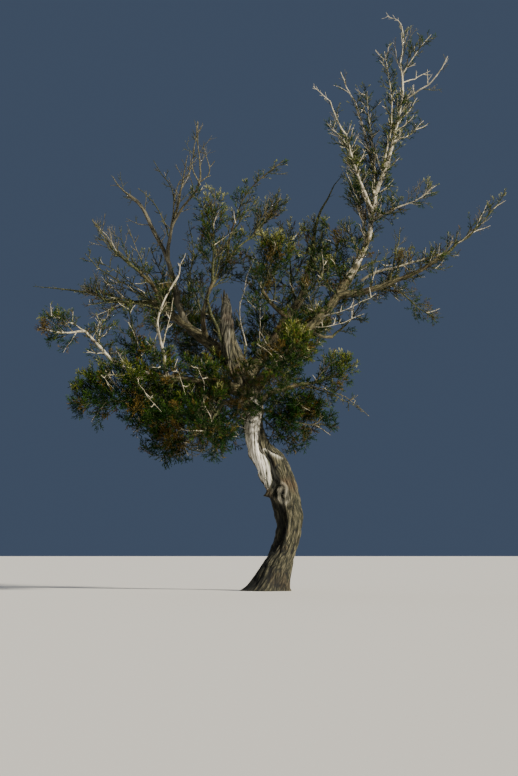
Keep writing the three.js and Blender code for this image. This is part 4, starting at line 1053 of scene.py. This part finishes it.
# Chains of edges become twigs of the thickness that each point is marked with.
MARK = "GeometryNodeInputNamedAttribute"
twig_grower, twig_sockets = grower(
    "twigs_along_lines",
    {"Lines": "Geometry", "Sides": "Int", "Finish": "Material"},
    {
        "curve": ("GeometryNodeMeshToCurve", {"Mesh": "given.Lines"}),
        "ring": ("GeometryNodeCurvePrimitiveCircle", {"Resolution": "given.Sides", "Radius": 1}),
        "thick": (MARK, {"data_type": "FLOAT", "Name": "thick"}),
        "round": ("GeometryNodeCurveToMesh", {
            "Curve": "curve.Curve", "Profile Curve": "ring.Curve", "Scale": "thick.Attribute",
            "Fill Caps": True,
        }),
    },
    "round.Mesh",
)
twig_stops = {
    "bark": [(0.35, (0.005, 0.012, 0.002)), (0.5, (0.027, 0.034, 0.008)), (0.65, (0.13, 0.12, 0.055))],
    "weathered": [(0.35, (0.024, 0.024, 0.010)), (0.5, (0.07, 0.064, 0.031)), (0.65, (0.19, 0.168, 0.105))],
    "silver": [(0.3, (0.15, 0.13, 0.085)), (0.5, (0.36, 0.325, 0.225)), (0.68, (0.58, 0.54, 0.42))],
}
bare_masses = [row[0] for row in masses if row[6] == "bare"]
leafy_masses = [row[0] for row in masses if row[6] != "bare"]
stout_radius = 3
for colour, lines in twig_lines.items():
    finish = twig_finish(f"twig_{colour}", twig_stops[colour])
    stout = [row for row in lines if max(row[1]) > stout_radius]
    slim = [row for row in lines if max(row[1]) <= stout_radius]
    for size_name, group, sides in (("stout", stout, 6), ("fine", slim, 3)):
        points, radii, edges = [], [], []
        for line_points, line_radii in group:
            first = len(points)
            points += [tuple(p * MM) for p in line_points]
            radii += [r * MM for r in line_radii]
            edges += [(first + k, first + k + 1) for k in range(len(line_points) - 1)]
        mesh = bpy.data.meshes.new("lines")
        mesh.from_pydata(points, edges, [])
        marks = {"thick": ("FLOAT", "value", radii)}
        settings = {"Sides": sides, "Finish": finish}
        piece = grown(f"twigs_{colour}_{size_name}", mesh, marks, twig_grower, twig_sockets, settings)
        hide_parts(*(leafy_masses if colour == "bark" else bare_masses))
        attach(piece, "root")

# The sprays. Short forked sprigs of scale leaves, dealt out in plain colours that carry painted light and
# shade: deep green as painted shade inside and below, olive and yellow-green as painted light where the
# light reaches, and rusty brown where they have died.
middle_thick, finger_thick, widest_at = 0.045, 0.053, 0.45  # shares of a sprig's and a finger's length
finger_lean, finger_length = (0.4, 0.35), (0.8, 0.4)  # in radians, and of the length at its place


def spray_shape(name, fingers, seed):
    """A sprig along +Z, one unit long: a slim middle with leafy fingers that stand out round it."""
    corners, faces, tips = [], [], []

    def finger(start, way, length, thick):
        side, other = across_way(way)
        first = len(corners)
        corners.append(tuple(start))
        tips.append(start.z)
        for k in range(3):
            turn = k * 2 * math.pi / 3
            out = (side * math.cos(turn) + other * math.sin(turn)) * thick
            ring = start + way * length * widest_at + out
            corners.append(tuple(ring))
            tips.append(ring.z)
        end = start + way * length
        corners.append(tuple(end))
        tips.append(min(end.z + 0.15, 1))
        for k in range(3):
            a, b = first + 1 + k, first + 1 + (k + 1) % 3
            faces.extend([(first, b, a), (first + 4, a, b)])

    up = Vector((0, 0, 1))
    finger(Vector((0, 0, 0)), up, 1.0, middle_thick)
    for i in range(fingers):
        share = 0.08 + 0.66 * i / (fingers - 1)
        way = leaning(up, i * golden_turn + seed, vary(finger_lean, seed, i))
        length = (0.48 - 0.14 * share) * vary(finger_length, seed, i + 9)
        finger(Vector((0, 0, share)), way, length, finger_thick)
    mesh = bpy.data.meshes.new(name)
    mesh.from_pydata(corners, [], faces)
    mesh.attributes.new("tip", "FLOAT", "POINT").data.foreach_set("value", tips)
    return bpy.data.objects.new(name, mesh)


def leaf_finish(name, base, tip):
    """Leaf colour that goes from a deeper foot to a lighter tip, with a slight unevenness."""
    parts = {
        "where": ("Attribute", {"attribute_name": "tip"}),
        "place": ("TexCoord", {}),
        "noise": ("TexNoise", {"Vector": "place.Object", "Scale": 45}),
        "uneven": ("MapRange", {
            "Value": "noise.Fac", "From Min": 0.35, "From Max": 0.65, "To Min": 0.35, "To Max": 1.1,
        }),
        "share": ("Math", {"operation": "MULTIPLY", 0: "where.Fac", 1: "uneven.Result"}),
        "blend": ("Mix", {"data_type": "RGBA", "Factor": "share.Value", "A": (*base, 1), "B": (*tip, 1)}),
    }
    surface = {"Base Color": "blend.Result", "Roughness": 0.7, "Specular IOR Level": 0.12}
    return finish_of(name, surface, parts)


# Lit and shaded copies of one leaf colour, each a foot and a tip: deep green is painted shade, green, olive
# and gold carry more and more painted light, and rust is for dead sprays.
leaf_colours = {
    "deep": ((0.0, 0.007, 0.0), (0.006, 0.031, 0.0)),
    "green": ((0.002, 0.013, 0.0), (0.037, 0.073, 0.002)),
    "olive": ((0.008, 0.017, 0.0), (0.15, 0.165, 0.018)),
    "gold": ((0.028, 0.034, 0.004), (0.38, 0.38, 0.15)),
    "rust": ((0.014, 0.011, 0.0), (0.12, 0.078, 0.012)),
}
least_painted_light = {"gold": 0.97, "olive": 0.74, "green": 0.43}  # a spray given less painted light is painted deep green, as painted shade
painted_light_z, painted_shade_z, last_rust_z = 1950, 1150, 2300  # where sprays get more painted light, more painted shade, and never rust, in mm
browned_x, browned_z, browned_wide, browned_tall = -520, 880, 130, 75  # a patch that has died, in mm
sprays_a_piece = 4000


def colour_of(place, space, seed):
    """Which colour a spray gets: painted light and shade from how far out and how high it stands in its
    mass, and rusty brown in patches where it has died.
    """
    high = (place.z - space.centre.z) / max(space.halves)
    patch = math.sin(place.x / 61 + 1.3) * math.sin(place.z / 47 + 0.4) * math.sin(place.y / 70 + 2.1)
    luck = chance(seed, 71)
    off = math.hypot((place.x - browned_x) / browned_wide, (place.z - browned_z) / browned_tall)
    browned = off < 1 and luck < 0.55
    if (patch > 0.45 or luck < 0.07) and place.z < last_rust_z or browned:
        return "rust"
    # The painted light a spray gets: more further out in its mass, higher up and on tufts, and less low
    # down.
    light = 0.75 * space.outward(place) + 0.35 * high + 0.55 * (luck - 0.5)
    light += (0.15 if place.z > painted_light_z else 0) - (0.18 if place.z < painted_shade_z else 0)
    light += 0.1 if space.kind == "tufted" else 0
    return next((colour for colour, least in least_painted_light.items() if light > least), "deep")


sprigs = bpy.data.collections.new("sprigs")
for count, seed in ((5, 3), (5, 8), (4, 14)):
    sprigs.objects.link(spray_shape(f"sprig_{count}", count, seed))

# A sprig stands on each point, along its heading, turned at random, at the size it is marked with.
spray_grower, spray_sockets = grower(
    "sprays_on_twigs",
    {"Points": "Geometry", "Sprigs": "Collection", "Seed": "Int", "Finish": "Material"},
    {
        "heading": (MARK, {"data_type": "FLOAT_VECTOR", "Name": "heading"}),
        "long": (MARK, {"data_type": "FLOAT", "Name": "long"}),
        "shapes": ("GeometryNodeCollectionInfo", {
            "Collection": "given.Sprigs", "Separate Children": True, "Reset Children": True,
        }),
        "aim": ("FunctionNodeAlignRotationToVector", {"axis": "Z", "Vector": "heading.Attribute"}),
        "roll": ("FunctionNodeRandomValue", {
            "data_type": "FLOAT", "Max": 2 * math.pi, "Seed": "given.Seed",
        }),
        "turn": ("FunctionNodeAxisAngleToRotation", {"Axis": (0, 0, 1), "Angle": "roll.Value"}),
        "spin": ("FunctionNodeRotateRotation", {
            "rotation_space": "LOCAL", "Rotation": "aim.Rotation", "Rotate By": "turn.Rotation",
        }),
        "stand": ("GeometryNodeInstanceOnPoints", {
            "Points": "given.Points", "Instance": "shapes.Instances", "Pick Instance": True,
            "Rotation": "spin.Rotation", "Scale": "long.Attribute",
        }),
    },
    "stand.Instances",
)
dealt = {colour: [] for colour in leaf_colours}
for spray in sprays:
    dealt[colour_of(spray[0], spray[3], spray[4])].append(spray)
for colour, group in dealt.items():
    finish = leaf_finish(f"leaves_{colour}", *leaf_colours[colour])
    parts = max(1, math.ceil(len(group) / sprays_a_piece))
    for part in range(parts):
        share_of = group[part::parts]
        mesh = bpy.data.meshes.new("points")
        mesh.from_pydata([tuple(row[0] * MM) for row in share_of], [], [])
        heading = [c for row in share_of for c in row[1]]
        marks = {
            "heading": ("FLOAT_VECTOR", "vector", heading),
            "long": ("FLOAT", "value", [row[2] for row in share_of]),
        }
        settings = {"Sprigs": sprigs, "Seed": part + 5, "Finish": finish}
        piece = grown(f"sprays_{colour}_{part + 1}", mesh, marks, spray_grower, spray_sockets, settings)
        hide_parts(*leafy_masses)
        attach(piece, "root")
for sprig in list(sprigs.objects):
    bpy.data.objects.remove(sprig)
bpy.data.collections.remove(sprigs)

# The ground it stands on here: a plain pale floor, so that its shadow shows, before a plain
# slate-grey backdrop.
floor_mesh = bpy.data.meshes.new("floor")
floor_mesh.from_pydata([(-60, -60, 0), (60, -60, 0), (60, 60, 0), (-60, 60, 0)], [], [(0, 1, 2, 3)])
floor_look = {"Base Color": (0.62, 0.60, 0.55, 1), "Roughness": 0.9}
floor_mesh.materials.append(finish_of("floor_pale", floor_look))
placed("floor", floor_mesh)
world = bpy.data.worlds.new("slate")
bpy.context.scene.world = world
world.use_nodes = True
backdrop = world.node_tree.nodes["Background"]
backdrop.inputs["Color"].default_value = (0.055, 0.078, 0.125, 1)
backdrop.inputs["Strength"].default_value = 1.0

# Light: a soft warm one high at the front right, with broad cool ones at the left and behind.
def lamp(name, place, aim, spread, power, colour):
    data = bpy.data.lights.new(name, "SUN")
    data.angle, data.energy, data.color = math.radians(spread), power, colour
    light = placed(name, data)
    light.location = place
    light.rotation_euler = (Vector(aim) - Vector(place)).to_track_quat("-Z", "Y").to_euler()


lamp("key_light", (7.3, -6.1, 6.5), (0, 0, 1.6), 7, 8.8, (1.0, 0.93, 0.80))
lamp("fill_light", (-7.0, -6.0, 4.0), (0, 0, 1.5), 60, 0.45, (0.84, 0.91, 1.0))
lamp("back_light", (-3.0, 8.0, 5.0), (0, 0, 1.5), 60, 0.8, (0.90, 0.94, 1.0))

# Camera: low, well back, and tipped up a little, as the tree was seen.
camera_place = Vector((-0.054, -13.0, 0.25))
aim_place = Vector((-0.054, 0.0, 1.212))
seen_height = 4.656
camera_data = bpy.data.cameras.new("camera")
camera_data.sensor_width = 36
camera_data.lens = 36 * (aim_place - camera_place).length / seen_height
camera_data.clip_end = 300
camera = placed("camera", camera_data)
camera.location = camera_place
camera.rotation_euler = (aim_place - camera_place).to_track_quat("-Z", "Y").to_euler()
bpy.context.scene.camera = camera
